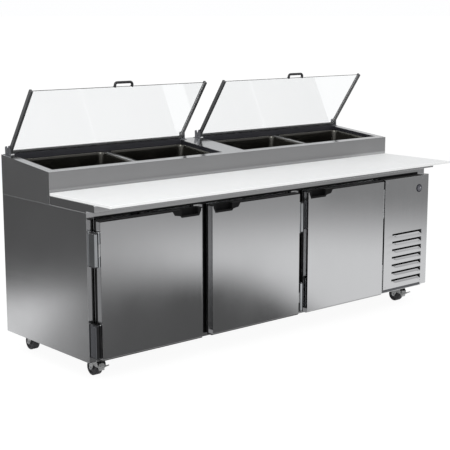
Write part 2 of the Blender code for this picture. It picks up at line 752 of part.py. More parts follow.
# ---------------------------------------------------------------- machine compartment
def louvre_panel():
    lift = pivot("louvre_panel_mount", (PANEL_LEFT + PANEL_RIGHT) / 2, PANEL_FRONT, 13.0)
    sheet = 0.12
    back = SURROUND_FRONT - GAP
    panel = box("louvre_panel", (PANEL_LEFT, PANEL_RIGHT), (PANEL_FRONT, back),
                (PANEL_BOTTOM, PANEL_TOP))
    cut(panel, box("tray", (PANEL_LEFT + sheet, PANEL_RIGHT - sheet),
                   (PANEL_FRONT + sheet, back + 1), (PANEL_BOTTOM + sheet, PANEL_TOP - sheet)))
    for i in range(LOUVRE_COUNT):
        top = LOUVRE_TOP - i * LOUVRE_PITCH
        low = top - LOUVRE_SLOT
        cut(panel, box("slot", (LOUVRE_LEFT, LOUVRE_RIGHT), (-3, PANEL_FRONT + 0.3), (low, top)))
        hood_front = PANEL_FRONT - HOOD_REACH
        outline = [(PANEL_FRONT + 0.05, low + 0.02), (hood_front, low - 0.06),
                   (hood_front, low - 0.14), (PANEL_FRONT + 0.05, low - 0.62)]
        join(panel, extrude_x("hood", outline, (LOUVRE_LEFT + 0.1, LOUVRE_RIGHT - 0.1)))
    done(panel, "steel", lift)
    dial_centre = (DIAL_X, PANEL_FRONT - GAP, DIAL_LEVEL)
    dial = turned("temperature_dial", dial_centre, (0, -1, 0),
                  [(0, 0.9), (0.12, 0.9), (0.2, 0.78), (0.2, 0.5), (0.38, 0.44)], 24)
    done(dial, "grey", pivot("dial_axis", *dial_centre))


def fan(name, centre, radius, blades, thickness, kind):
    """Axial fan on a y axis: a bored hub and pitched blades in one piece."""
    hub = ring(name, centre, (0, 1, 0),
               [(0, SHAFT_RADIUS + GAP), (0, FAN_HUB), (thickness, FAN_HUB),
                (thickness, SHAFT_RADIUS + GAP)], 16)
    middle = (thickness - BLADE_SHEET) / 2
    root, tip = BLADE_CHORD
    pitch = (middle - 0.12) / tip
    for i in range(blades):
        spin = Matrix.Rotation(2 * math.pi * i / blades, 3, "Y")
        loops = []
        for reach, chord in ((FAN_HUB - 0.1, root), (radius, tip)):
            rise = pitch * chord
            section = ((-chord, middle - rise), (chord, middle + rise),
                       (chord, middle + rise + BLADE_SHEET), (-chord, middle - rise + BLADE_SHEET))
            loops.append([place(*(Vector(centre) + spin @ Vector((x, depth, reach))))
                          for x, depth in section])
        join(hub, loft("blade", loops))
    done(hub, kind, pivot(name + "_axis", *centre))


def machinery():
    front = EVAPORATOR_FRONT
    housing = box("evaporator", EVAPORATOR_X, (front, DEPTH - WALL - GAP), EVAPORATOR_Z)
    x = sum(EVAPORATOR_X) / 2
    z = EVAPORATOR_FAN_LEVEL
    well = turned("well", (x, front - 0.5, z), (0, 1, 0), [(0, 4.1), (1.9, 4.1)], 24)
    shaft = turned("shaft", (x, front + 0.1, z), (0, 1, 0), [(0, SHAFT_RADIUS), (1.6, SHAFT_RADIUS)], 12)
    join(cut(housing, well), shaft)
    done(housing, "coil")
    fan("evaporator_fan", (x, front + 0.25, z), 3.8, 5, 0.7, "black")

    coil = box("condenser", CONDENSER_X, CONDENSER_Y, (WALL + GAP, CONDENSER_TOP))
    x = sum(CONDENSER_X) / 2
    z = CONDENSER_FAN_LEVEL
    back = CONDENSER_Y[1]
    shaft = turned("shaft", (x, back - 0.1, z), (0, 1, 0), [(0, SHAFT_RADIUS), (1.3, SHAFT_RADIUS)], 12)
    done(join(coil, shaft), "coil")
    fan("condenser_fan", (x, back + 0.3, z), 4.6, 4, 0.8, "black")

    low = WALL + GAP
    x, y = COMPRESSOR_PLACE
    can = turned("compressor", (x, y, low + 0.4), (0, 0, 1),
                 [(0, 2.6), (0.7, 3.3), (5.6, 3.3), (7.0, 2.4), (7.5, 1.0)], 24)
    join(can, box("foot", (x - 3.9, x + 3.9), (y - 2.4, y + 2.4), (low, low + 0.5)))
    done(can, "black")


def wire_shelf(index):
    low, high = bay_spans()[index]
    x = (low + 0.35 - (1.2 if index else 0), high - 0.35 + (1.2 if index < BAY_COUNT - 1 else 0))
    y = (1.5, 26.9)
    z = (SHELF_LEVEL + GAP, SHELF_LEVEL + 0.25)
    rod = 0.25
    rack = box("wire_shelf_%d" % (index + 1), x, y, z)
    cut(rack, box("inside", (x[0] + rod, x[1] - rod), (y[0] + rod, y[1] - rod), (12, 13.5)))
    wires = 11
    for i in range(wires):
        middle = x[0] + (x[1] - x[0]) * (i + 1) / (wires + 1)
        join(rack, box("wire", (middle - 0.08, middle + 0.08), (y[0] + 0.1, y[1] - 0.1),
                       (SHELF_LEVEL + 0.06, SHELF_LEVEL + 0.22)))
    done(rack, "zinc")


# ---------------------------------------------------------------- casters
def caster_places():
    return [(x, y) for y in CASTER_ROWS for x in (CASTER_X, WIDTH - CASTER_X)]


def fork_leg(name, x, sign, outline):
    """One side plate of a fork: sign picks the side of the wheel."""
    inner = WHEEL_WIDTH / 2 + FORK_CLEARANCE
    return extrude_x(name, outline, sorted((x + sign * inner, x + sign * (inner + FORK_SHEET))))


def cross_pin(x, y, z, overhang, radius):
    """A pin along x through both plates of a fork."""
    half = WHEEL_WIDTH / 2 + FORK_CLEARANCE + overhang
    return turned("pin", (x - half, y, z), (1, 0, 0), [(0, radius), (2 * half, radius)], 12)


def caster(index):
    x, y = caster_places()[index]
    label = ("front_left", "front_right", "back_left", "back_right")[index]
    axle_y = y + CASTER_TRAIL
    axle_z = WHEEL_RADIUS - CASTER_HEIGHT
    fork = turned("caster_fork_" + label, (x, y, FORK_TOP[0]), (0, 0, 1),
                  [(0, 1.0), (0.2, 1.0), (0.26, 0.9)], 20)
    leg_top = FORK_TOP[0] + 0.05
    leg = [(y - 0.7, leg_top), (axle_y + 0.45, leg_top), (axle_y + 0.42, axle_z - 0.2),
           (axle_y, axle_z - 0.42), (axle_y - 0.42, axle_z - 0.2)]
    for sign in (-1, 1):
        join(fork, fork_leg("leg", x, sign, leg))
    join(fork, cross_pin(x, axle_y, axle_z, 0.2, AXLE_RADIUS))
    saddle_x = WHEEL_WIDTH / 2 + 0.15
    join(fork, box("saddle", (x - saddle_x, x + saddle_x), (y - 0.7, y + 0.7), (-0.44, -0.3)))
    kingpin_room = KINGPIN_RADIUS + GAP
    cut(fork, turned("clear", (x, y, 0), (0, 0, -1), [(0, kingpin_room), (1, kingpin_room)], 16))
    if y == CASTER_ROWS[0]:
        brake(label, x, y, fork)
    done(fork, "zinc", pivot("caster_%s_swivel" % label, x, y, axle_z))
    bore = AXLE_RADIUS + GAP
    wheel = ring("caster_wheel_" + label, (x - WHEEL_WIDTH / 2, axle_y, axle_z), (1, 0, 0),
                 [(0.15, bore), (0.15, 1.0), (0, 1.15), (0, 1.38), (0.14, WHEEL_RADIUS),
                  (WHEEL_WIDTH - 0.14, WHEEL_RADIUS), (WHEEL_WIDTH, 1.38), (WHEEL_WIDTH, 1.15),
                  (WHEEL_WIDTH - 0.15, 1.0), (WHEEL_WIDTH - 0.15, bore)], 24)
    done(wheel, "tyre", pivot("caster_%s_axle" % label, x, axle_y, axle_z))


def brake(label, x, y, fork):
    """Foot lever ahead of a front caster, turning on a pin between ears of the fork."""
    pin_y = y - BRAKE_AHEAD
    pin_z = BRAKE_LEVEL
    ear_top = FORK_TOP[0] + 0.01
    ear = [(y - 0.1, ear_top), (y - 0.1, -1.7), (pin_y - 0.25, pin_z - 0.25),
           (pin_y - 0.25, pin_z + 0.25), (y - 0.6, ear_top)]
    for sign in (-1, 1):
        join(fork, fork_leg("ear", x, sign, ear))
    join(fork, cross_pin(x, pin_y, pin_z, 0.05, BRAKE_PIN_RADIUS))
    # From the pin: a shoe hangs ahead of the tread and a pedal reaches forward and up.
    offsets = [(0.25, 0.3), (-0.2, 0.35), (-0.4, -0.15), (-1.85, 0.48), (-1.95, 0.32),
               (-0.45, -0.45), (-0.35, -0.95), (-0.15, -1.0), (0.2, -0.3)]
    outline = [(pin_y + along, pin_z + up) for along, up in offsets]
    lever = extrude_x("brake_lever_" + label, outline, (x - 0.55, x + 0.55))
    hole = BRAKE_PIN_RADIUS + GAP
    cut(lever, turned("bore", (x - 2, pin_y, pin_z), (1, 0, 0), [(0, hole), (4, hole)], 12))
    done(lever, "zinc", pivot("brake_%s_axis" % label, x, pin_y, pin_z))


def build():
    for obj in list(bpy.data.objects):
        bpy.data.objects.remove(obj)
    side_panels()
    back_panel()
    floor_pan()
    face_frame()
    machine_surround()
    machine_bulkhead()
    counter()
    cutting_board()
    rail_housing()
    for side, label in enumerate(("left", "right")):
        collar(side, label)
        divider(side, label)
        lid(side, label)
    for index in range(4):
        pan(index)
        caster(index)
    for index in range(BAY_COUNT):
        door(index)
        wire_shelf(index)
        for which in range(2):
            hinge_bracket(index, which)
    louvre_panel()
    machinery()


build()
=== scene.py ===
"""Looks of the refrigerated prep table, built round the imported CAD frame.

Shop dimensions are inches from the cabinet's lower front left corner: x to the right,
y to the back, z up.  place() turns them into the frame's metres.
"""

from contextlib import contextmanager
import json
import math

import bmesh
import bpy
from mathutils import Matrix, Vector


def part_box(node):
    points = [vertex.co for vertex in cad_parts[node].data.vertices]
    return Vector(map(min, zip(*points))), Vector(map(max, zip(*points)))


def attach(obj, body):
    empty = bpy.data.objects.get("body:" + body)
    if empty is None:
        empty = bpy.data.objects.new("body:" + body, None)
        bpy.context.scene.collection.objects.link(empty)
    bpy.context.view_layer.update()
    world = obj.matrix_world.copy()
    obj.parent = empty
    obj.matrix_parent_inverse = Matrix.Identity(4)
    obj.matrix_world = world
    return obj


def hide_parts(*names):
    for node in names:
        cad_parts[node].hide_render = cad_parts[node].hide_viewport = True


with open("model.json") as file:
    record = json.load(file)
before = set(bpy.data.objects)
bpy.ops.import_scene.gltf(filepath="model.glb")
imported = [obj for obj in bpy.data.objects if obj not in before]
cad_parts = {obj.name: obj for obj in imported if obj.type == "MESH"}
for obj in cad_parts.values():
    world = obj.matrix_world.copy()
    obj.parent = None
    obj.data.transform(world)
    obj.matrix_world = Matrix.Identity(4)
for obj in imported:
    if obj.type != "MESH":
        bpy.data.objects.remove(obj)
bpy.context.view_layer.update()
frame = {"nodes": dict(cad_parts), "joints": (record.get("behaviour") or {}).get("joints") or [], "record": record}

INCH = 0.0254
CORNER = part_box("side_panel_left")[0]
BODIES = {node: body for body, nodes in frame["record"]["behaviour"]["bodies"].items() for node in nodes}
LABELS = ("left", "right")


def place(x, y, z):
    """Shop inches to metres in the frame."""
    return CORNER + Vector((x, y, z)) * INCH


def shop(point):
    return (Vector(point) - CORNER) / INCH


def span(node):
    """Lowest and highest corner of a CAD node in shop inches."""
    low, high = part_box(node)
    return shop(low), shop(high)


def joint_place(name):
    return shop(next(j for j in frame["joints"] if j["name"] == name)["pos_m"])


# ---------------------------------------------------------------- materials
def material(name, colour, metallic, roughness, **sockets):
    """A Principled material; returns it with its node tree and shader."""
    made = bpy.data.materials.new(name)
    made.use_nodes = True
    shader = made.node_tree.nodes["Principled BSDF"]
    shader.inputs["Base Color"].default_value = (*colour, 1)
    shader.inputs["Metallic"].default_value = metallic
    shader.inputs["Roughness"].default_value = roughness
    for socket, value in sockets.items():
        shader.inputs[socket.replace("_", " ")].default_value = value
    return made, made.node_tree, shader


def node(tree, kind, **settings):
    """A shader node with its sockets or properties set by name; _ stands for a space."""
    made = tree.nodes.new("ShaderNode" + kind)
    for key, value in settings.items():
        socket = key.replace("_", " ")
        if socket in made.inputs:
            made.inputs[socket].default_value = value
        else:
            setattr(made, key, value)
    return made


def feed(target, socket, value):
    """Link a value to a node's named socket."""
    value.id_data.links.new(value, target.inputs[socket])


def noise(tree, scale, detail=3.0, stretch=(1, 1, 1), roughness=0.55):
    """Noise in metres of the object, optionally stretched along an axis."""
    mapping = node(tree, "Mapping", Scale=stretch)
    texture = node(tree, "TexNoise", Scale=scale, Detail=detail, Roughness=roughness)
    feed(mapping, "Vector", node(tree, "TexCoord").outputs["Object"])
    feed(texture, "Vector", mapping.outputs["Vector"])
    return texture.outputs["Fac"]


def remap(value, low, high, start=0.3, end=0.7, **settings):
    """Take start..end to low..high and hold the ends."""
    mapping = node(value.id_data, "MapRange", From_Min=start, From_Max=end, To_Min=low, To_Max=high,
                   **settings)
    feed(mapping, "Value", value)
    return mapping.outputs["Result"]


def edge(value, start, end):
    """A smooth step from 0 at start to 1 at end."""
    return remap(value, 0, 1, start, end, interpolation_type="SMOOTHSTEP")


def maths(operation, first, second=None, clamp=False):
    """A Math node; at least one of the two values is a socket."""
    tree = (second if isinstance(first, (int, float)) else first).id_data
    made = node(tree, "Math", operation=operation, use_clamp=clamp)
    for socket, value in zip(made.inputs, (first, second)):
        if isinstance(value, (int, float)):
            socket.default_value = value
        elif value is not None:
            tree.links.new(value, socket)
    return made.outputs["Value"]


def plus(first, second):
    return maths("ADD", first, second)


def times(first, second):
    return maths("MULTIPLY", first, second)


def mix_colour(share, first, second):
    tree = share.id_data
    made = node(tree, "Mix", data_type="RGBA")
    # The colour sockets of a Mix node come last among those with the same name.
    for name, colour in (("A", first), ("B", second)):
        socket = [s for s in made.inputs if s.name == name and s.type == "RGBA"][0]
        socket.default_value = (*colour, 1)
    feed(made, "Factor", share)
    return [s for s in made.outputs if s.type == "RGBA"][0]


def bump(tree, shader, height, distance, strength):
    made = node(tree, "Bump", Strength=strength, Distance=distance)
    feed(made, "Height", height)
    feed(shader, "Normal", made.outputs["Normal"])


def worn_edges(tree, low, high):
    """A share that rises on convex edges, from the mesh's own pointiness."""
    return remap(node(tree, "NewGeometry").outputs["Pointiness"], 0, 1, low, high)


def scaled(colour, factor, lift=0.0):
    return tuple(min(1.0, c * factor + lift) for c in colour)


def brushed_metal(name, colour, roughness, grain, depth=1.0):
    """Sheet steel with a fine grain; grain is the direction in which it runs: x, y or z."""
    made, tree, shader = material(name, colour, 1.0, roughness, Anisotropic=0.3)
    stretch = {"x": (0.002, 1, 1), "y": (1, 0.002, 1), "z": (1, 1, 0.002)}[grain]
    fine = noise(tree, 3200, 2.0, stretch, 0.6)
    broad = noise(tree, 520, 2.0, stretch, 0.5)
    cloud = noise(tree, 5.5, 2.0)
    streaks = plus(times(fine, 0.6), times(broad, 0.4))
    feed(shader, "Base Color", mix_colour(remap(streaks, 0, 1), scaled(colour, 0.965), scaled(colour, 1.025)))
    spread = plus(remap(streaks, roughness - 0.012, roughness + 0.018), remap(cloud, -0.008, 0.012))
    spread = plus(spread, times(worn_edges(tree, 0.52, 0.6), 0.06))
    feed(shader, "Roughness", spread)
    bump(tree, shader, streaks, 0.00002 * depth, 0.03)
    return made


def plated_metal(name, colour, roughness):
    """Zinc plate or cast metal: cloudy, with a fine matt grain."""
    made, tree, shader = material(name, colour, 1.0, roughness)
    cloud = noise(tree, 45, 4.0)
    grain = noise(tree, 1500, 2.0)
    feed(shader, "Base Color", mix_colour(remap(cloud, 0, 1), scaled(colour, 0.88), scaled(colour, 1.06)))
    feed(shader, "Roughness", plus(remap(cloud, roughness - 0.06, roughness + 0.08),
                                   remap(grain, -0.03, 0.03)))
    bump(tree, shader, grain, 0.00004, 0.15)
    return made


def moulded_plastic(name, colour, roughness, texture=1100, depth=0.0001, gloss=0.45):
    """Moulded plastic with a fine spark-eroded texture and scuffed edges."""
    made, tree, shader = material(name, colour, 0.0, roughness, Specular_IOR_Level=gloss)
    grain = noise(tree, texture, 3.0)
    cloud = noise(tree, 14, 3.0)
    share = maths("ADD", times(worn_edges(tree, 0.52, 0.62), 0.5), remap(cloud, 0, 0.25), True)
    feed(shader, "Base Color", mix_colour(share, colour, scaled(colour, 1.6, 0.012)))
    feed(shader, "Roughness", plus(remap(cloud, roughness - 0.05, roughness + 0.06),
                                   remap(grain, -0.04, 0.04)))
    bump(tree, shader, grain, depth, 0.4)
    return made


# Painted light and shade: darker board edges, a pale rail foot beside the board, a dark lower door edge and darker
# upright rail faces.
BOARD_EDGE_PAINTED_SHADE = 0.82
RAIL_FOOT_PAINTED_REFLECTION = 0.9
DOOR_HEM_PAINTED_SHADE = 0.05
RAIL_FACE_PAINTED_SHADE = 0.63


def surface(tree, output, axis):
    """One axis of the shaded point's Position in metres or of its Normal."""
    split = node(tree, "SeparateXYZ")
    feed(split, "Vector", node(tree, "NewGeometry").outputs[output])
    return split.outputs[axis]


def by_tilt(tree, upright, level):
    """A share that goes from one value on upright faces to another on level ones."""
    return remap(maths("ABSOLUTE", surface(tree, "Normal", "Z")), upright, level, 0.2, 0.8)


def scale_colour(shader, colour, factor):
    product = node(colour.id_data, "VectorMath", operation="SCALE")
    feed(product, "Vector", colour)
    feed(product, "Scale", factor)
    feed(shader, "Base Color", product.outputs["Vector"])


def steel_variant(*settings):
    """Brushed steel to build on: its material, tree, shader and what colours it."""
    made = brushed_metal(*settings)
    shader = made.node_tree.nodes["Principled BSDF"]
    return made, made.node_tree, shader, shader.inputs["Base Color"].links[0].from_socket


def rail_metal():
    """Rail sheet with painted light and shade: a pale colour on its level rim, painted darker on its upright
    faces, and a painted pale reflection of the board where it meets the board.
    """
    made, tree, shader, colour = steel_variant("rail_stainless", RAIL_PAINTED_LIGHT_COLOUR, 0.13, "x")
    board_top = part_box("cutting_board")[1].z
    # Painted reflection of the board: the upright foot just above it is drawn paler.
    foot = remap(surface(tree, "Position", "Z"), RAIL_FOOT_PAINTED_REFLECTION, 0.0,
                 board_top + 0.15 * INCH, board_top + 0.7 * INCH)
    foot = times(foot, remap(surface(tree, "Normal", "Y"), 1.0, 0.0, -0.7, -0.3))
    # Painted shade: upright faces take a share of the pale colour, and the painted foot light is added on top.
    tone = plus(by_tilt(tree, RAIL_FACE_PAINTED_SHADE, 1.0), times(foot, RAIL_FACE_PAINTED_SHADE))
    scale_colour(shader, colour, maths("MINIMUM", tone, 1.0))
    return made


def door_metal():
    """Door sheet whose rounded lower edge carries painted shade: darker, less metallic and rougher there."""
    made, tree, shader, colour = steel_variant("door_stainless", STEEL, 0.055, "z")
    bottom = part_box("door_shell_1")[0].z
    above = remap(surface(tree, "Position", "Z"), 0.0, 1.0, bottom + 0.3 * INCH, bottom + 0.42 * INCH)
    unshaded = maths("MINIMUM", remap(surface(tree, "Normal", "Z"), 0.0, 1.0, -0.35, -0.06), above)
    scale_colour(shader, colour, remap(unshaded, DOOR_HEM_PAINTED_SHADE, 1.0, 0.0, 1.0))
    feed(shader, "Metallic", unshaded)
    plain = shader.inputs["Roughness"].links[0].from_socket
    feed(shader, "Roughness", plus(plain, remap(unshaded, 0.5, 0.0, 0.0, 1.0)))
    return made


def poly_board():
    """White polyethylene: fine matt texture, faint knife marks across it and soft mottling."""
    made, tree, shader = material("poly_board", (0.91, 0.917, 0.915), 0.0, 0.42, Specular_IOR_Level=0.35)
    mottle = noise(tree, 9, 4.0)
    grain = noise(tree, 900, 2.0)
    marks = noise(tree, 240, 2.0, (1, 0.04, 1), 0.7)
    crossed = noise(tree, 260, 2.0, (0.05, 1, 1), 0.7)
    cuts = maths("MAXIMUM", remap(marks, 0, 1, 0.66, 0.8), remap(crossed, 0, 1, 0.68, 0.82))
    share = maths("ADD", remap(mottle, 0, 0.6), times(cuts, 0.4), True)
    faces = mix_colour(share, (0.945, 0.952, 0.95), (0.905, 0.913, 0.91))
    # Painted shade: the upright sawn edges are drawn darker than the faces.
    scale_colour(shader, faces, by_tilt(tree, BOARD_EDGE_PAINTED_SHADE, 1.0))
    feed(shader, "Roughness", remap(mottle, 0.36, 0.5))
    height = maths("SUBTRACT", grain, times(cuts, 1.4))
    bump(tree, shader, height, 0.00008, 0.3)
    return made


def clear_pane():
    """Clear acrylic with very faint wipe marks in its gloss."""
    made, tree, shader = material("clear_pane", (0.965, 0.975, 0.98), 0.0, 0.02, IOR=1.46)
    shader.inputs["Transmission Weight"].default_value = 1.0
    wipes = noise(tree, 60, 3.0, (0.3, 1, 1))
    feed(shader, "Roughness", remap(wipes, 0.01, 0.05))
    return made


def rubber(name, colour, roughness):
    made, tree, shader = material(name, colour, 0.0, roughness, Specular_IOR_Level=0.3)
    dust = noise(tree, 70, 4.0)
    grain = noise(tree, 1800, 2.0)
    feed(shader, "Base Color", mix_colour(remap(dust, 0, 0.6), colour, scaled(colour, 1.9, 0.01)))
    feed(shader, "Roughness", remap(dust, roughness - 0.08, roughness + 0.08))
    bump(tree, shader, grain, 0.0001, 0.35)
    return made


STEEL = (0.60, 0.602, 0.608)
# Painted light: the rail's steel colour is far paler than STEEL, so its level rim reads bright.
RAIL_PAINTED_LIGHT_COLOUR = (0.96, 0.963, 0.97)
LOOKS = {
    "steel_x": brushed_metal("stainless_grain_x", STEEL, 0.06, "x"),
    "steel_y": brushed_metal("stainless_grain_y", STEEL, 0.058, "y"),
    "steel_z": brushed_metal("stainless_grain_z", STEEL, 0.055, "z"),
    "rail_steel": rail_metal(),
    "door_steel": door_metal(),
    "hinge_upper": brushed_metal("hinge_cover_steel", (0.50, 0.515, 0.53), 0.07, "z"),
    # Painted shade: a darker copy of the cover steel, for door 1's lower hinge in shadow.
    "hinge_shaded_steel": brushed_metal("hinge_cover_shaded", (0.24, 0.245, 0.262), 0.09, "z"),
    # Painted shade: the pans' stainless is drawn very dark, for the shade in the covered well.
    "pan_steel": brushed_metal("pan_stainless_painted_shade", (0.10, 0.097, 0.088), 0.20, "x", 3.0),
    "zinc": plated_metal("zinc_plate", (0.56, 0.565, 0.56), 0.33),
    "bright": plated_metal("hinge_steel", (0.68, 0.69, 0.70), 0.24),
    "dark_zinc": plated_metal("dark_zinc_plate", (0.20, 0.203, 0.215), 0.42),
    "aluminium": plated_metal("mill_aluminium", (0.66, 0.67, 0.68), 0.42),
    "copper": plated_metal("copper_pipe", (0.72, 0.36, 0.22), 0.30),
    "lid_black": moulded_plastic("lid_frame_black", (0.036, 0.037, 0.038), 0.27, gloss=0.75),
    "collar_black": moulded_plastic("collar_black", (0.024, 0.024, 0.029), 0.4, 900, gloss=0.3),
    "pull_black": moulded_plastic("pull_black", (0.008, 0.008, 0.0085), 0.55, gloss=0.08),
    "black_plastic": moulded_plastic("black_abs", (0.013, 0.013, 0.015), 0.36),
    "black_paint": moulded_plastic("black_enamel", (0.018, 0.018, 0.019), 0.28, 350, 0.00005),
    "hub_black": moulded_plastic("hub_nylon", (0.03, 0.03, 0.032), 0.42),
    "dial_grey": moulded_plastic("dial_bezel", (0.022, 0.022, 0.03), 0.5, gloss=0.15),
    "grey_plastic": moulded_plastic("grey_abs", (0.12, 0.12, 0.135), 0.55, gloss=0.15),
    "white_plastic": moulded_plastic("white_liner", (0.74, 0.75, 0.75), 0.4),
    "gasket": rubber("gasket_vinyl", (0.011, 0.011, 0.012), 0.65),
    "tyre": rubber("caster_tread", (0.022, 0.022, 0.024), 0.5),
    "board": poly_board(),
    "clear_pane": clear_pane(),
}


# ---------------------------------------------------------------- pieces
def linked(name, data):
    made = bpy.data.objects.new(name, data)
    bpy.context.scene.collection.objects.link(made)
    return made


@contextmanager
def editing(mesh):
    """The mesh as a bmesh, written back at the end."""
    bm = bmesh.new()
    bm.from_mesh(mesh)
    yield bm
    bm.to_mesh(mesh)
    bm.free()


def face_outwards(bm):
    bmesh.ops.recalc_face_normals(bm, faces=bm.faces[:])


def mesh_object(name, vertices, faces):
    mesh = bpy.data.meshes.new(name)
    mesh.from_pydata([tuple(v) for v in vertices], [], faces)
    with editing(mesh) as bm:
        face_outwards(bm)
    return linked(name, mesh)


def loft(name, loops, ring=False):
    """Skin successive loops of points; ring joins the last loop to the first."""
    count = len(loops[0])
    vertices = [p for loop in loops for p in loop]
    faces = []
    for i in range(len(loops) if ring else len(loops) - 1):
        a = i * count
        b = (i + 1) % len(loops) * count
        for j in range(count):
            k = (j + 1) % count
            faces.append((a + j, a + k, b + k, b + j))
    if not ring:
        faces.append(tuple(range(count)))
        faces.append(tuple(range(len(vertices) - count, len(vertices))))
    return mesh_object(name, vertices, faces)


def box(name, x, y, z):
    corners = ((x[0], y[0]), (x[1], y[0]), (x[1], y[1]), (x[0], y[1]))
    return loft(name, [[place(px, py, pz) for px, py in corners] for pz in z])


def extrude(name, axis, outline, ends):
    """A prism along x, y or z from an outline of the two other coordinates."""
    at = "xyz".index(axis)
    return loft(name, [[place(*pair[:at], end, *pair[at:]) for pair in outline] for end in ends])


def turned(name, centre, axis, profile, segments=32, hollow=False):
    """A solid of revolution from (distance along the axis, radius) points; hollow closes the profile."""
    axis = Vector(axis)
    side = axis.orthogonal().normalized()
    other = axis.cross(side)
    turns = [2 * math.pi * i / segments for i in range(segments)]
    spokes = [side * math.cos(turn) + other * math.sin(turn) for turn in turns]
    loops = [[place(*(Vector(centre) + (axis * along + spoke * radius))) for spoke in spokes]
             for along, radius in profile]
    return loft(name, loops, hollow)


def rod(start, axis, length, radius, sides=12):
    return turned("rod", start, axis, [(0, radius), (length, radius)], sides)


def tube(name, points, radius, sides=3):
    """A round rod along shop-inch points, as a curve with filled ends."""
    curve = bpy.data.curves.new(name, "CURVE")
    curve.dimensions = "3D"
    curve.bevel_depth = radius * INCH
    curve.bevel_resolution = sides
    curve.use_fill_caps = True
    spline = curve.splines.new("POLY")
    spline.points.add(len(points) - 1)
    for point, value in zip(spline.points, points):
        point.co = (*place(*value), 1)
    return linked(name, curve)


def arc(centre, radius, start, end, steps):
    """Points of a circular arc in a plane, angles in degrees."""
    turns = [math.radians(start + (end - start) * i / steps) for i in range(steps + 1)]
    return [(centre[0] + radius * math.cos(t), centre[1] + radius * math.sin(t)) for t in turns]


def rounded_outline(a, b, radius, steps=5):
    """A rectangle with rounded corners from two (low, high) spans."""
    points = []
    for (ca, cb), start in (((a[1], b[1]), 0), ((a[0], b[1]), 90), ((a[0], b[0]), 180), ((a[1], b[0]), 270)):
        centre = (ca - radius if ca == a[1] else ca + radius, cb - radius if cb == b[1] else cb + radius)
        points += arc(centre, radius, start, start + 90, steps)
    return points


def joined(name, pieces):
    """One object from several meshes, kept as separate shells."""
    bm = bmesh.new()
    for piece in pieces:
        bm.from_mesh(piece.data)
        bpy.data.objects.remove(piece)
    mesh = bpy.data.meshes.new(name)
    bm.to_mesh(mesh)
    bm.free()
    return linked(name, mesh)


def soften(piece, width, segments=3):
    """Round every sharp edge by width inches and keep the flats flat."""
    if width:
        bevel = piece.modifiers.new("rounding", "BEVEL")
        bevel.width = width * INCH
        bevel.segments = segments
        bevel.limit_method = "ANGLE"
        bevel.angle_limit = math.radians(30)
        bevel.use_clamp_overlap = True
    piece.data.shade_smooth()
    weighted = piece.modifiers.new("flats", "WEIGHTED_NORMAL")
    weighted.keep_sharp = True
    return piece


def smooth(piece, angle=35):
    piece.data.shade_smooth()
    piece.data.set_sharp_from_angle(angle=math.radians(angle))
    return piece


def settle(piece, look, body, replaced=()):
    """Give a finished piece its material, its body and the CAD nodes it stands for."""
    piece.data.materials.clear()
    piece.data.materials.append(LOOKS[look])
    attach(piece, body)
    if replaced:
        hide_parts(*replaced)


WELD = 2e-6
FLAT = math.radians(0.8)
ON_EDGE = 0.005


def solid_of(node_name, name):
    """A welded copy of a CAD node, its flat faces whole again."""
    source = frame["nodes"][node_name].data
    faces = [tuple(p.vertices) for p in source.polygons]
    made = mesh_object(name, [v.co for v in source.vertices], faces)
    with editing(made.data) as bm:
        bmesh.ops.remove_doubles(bm, verts=bm.verts[:], dist=WELD)
        bmesh.ops.dissolve_limit(bm, angle_limit=FLAT, verts=bm.verts[:], edges=bm.edges[:])
        face_outwards(bm)
    return made


def sliced(piece, y, front):
    """The part of a piece before or behind a plane of constant y, closed at the cut."""
    with editing(piece.data) as bm:
        cut = bmesh.ops.bisect_plane(bm, geom=bm.verts[:] + bm.edges[:] + bm.faces[:],
                                     plane_co=place(0, y, 0), plane_no=(0, 1, 0),
                                     clear_outer=front, clear_inner=not front)
        edges = [e for e in cut["geom_cut"] if isinstance(e, bmesh.types.BMEdge)]
        bmesh.ops.triangle_fill(bm, edges=edges, use_beauty=True)
        face_outwards(bm)
    return piece


def rounded_edge(piece, y, z, radius):
    """Round the edges that lie at one y and one z along a piece."""
    def lies_there(edge_found):
        spots = [shop(v.co) for v in edge_found.verts]
        return all(abs(p.y - y) < ON_EDGE and abs(p.z - z) < ON_EDGE for p in spots)

    with editing(piece.data) as bm:
        bmesh.ops.bevel(bm, geom=[e for e in bm.edges if lies_there(e)], offset=radius * INCH,
                        segments=6, profile=0.5, affect="EDGES")
    return piece


def dress(node_name, look, width=0.05, name=None):
    """A CAD node remade with rounded edges and a finish."""
    piece = soften(solid_of(node_name, name or node_name + "_finished"), width)
    settle(piece, look, BODIES[node_name], [node_name])
    return piece


def repaint(node_name, look):
    """A CAD node that keeps its own mesh."""
    slots = frame["nodes"][node_name].material_slots
    for slot in slots:
        slot.material = LOOKS[look]


def bolt(centre, axis, radius, height=0.45, hexagonal=True):
    """A washer and a screw head, pointing along axis; sizes in inches."""
    axis = Vector(axis)
    washer = turned("washer", centre, axis, [(0, radius * 1.45), (radius * 0.16, radius * 1.45),
                                             (radius * 0.22, radius * 1.3)], 20)
    if hexagonal:
        profile = [(0, radius), (radius * height * 1.6, radius), (radius * height * 1.9, radius * 0.86)]
        head = turned("head", centre, axis, profile, 6)
    else:
        profile = [(0, radius)] + [(radius * height * (0.4 + 1.3 * math.sin(t)), radius * math.cos(t))
                                   for t in (0.2, 0.5, 0.8, 1.1, 1.4)]
        head = turned("head", centre, axis, profile, 20)
    return [washer, head]


def bolts(name, spots, axis, look, body, *sizes):
    """One piece made of the same screw at several places."""
    heads = [part for spot in spots for part in bolt(spot, axis, *sizes)]
    settle(smooth(joined(name, heads)), look, body)


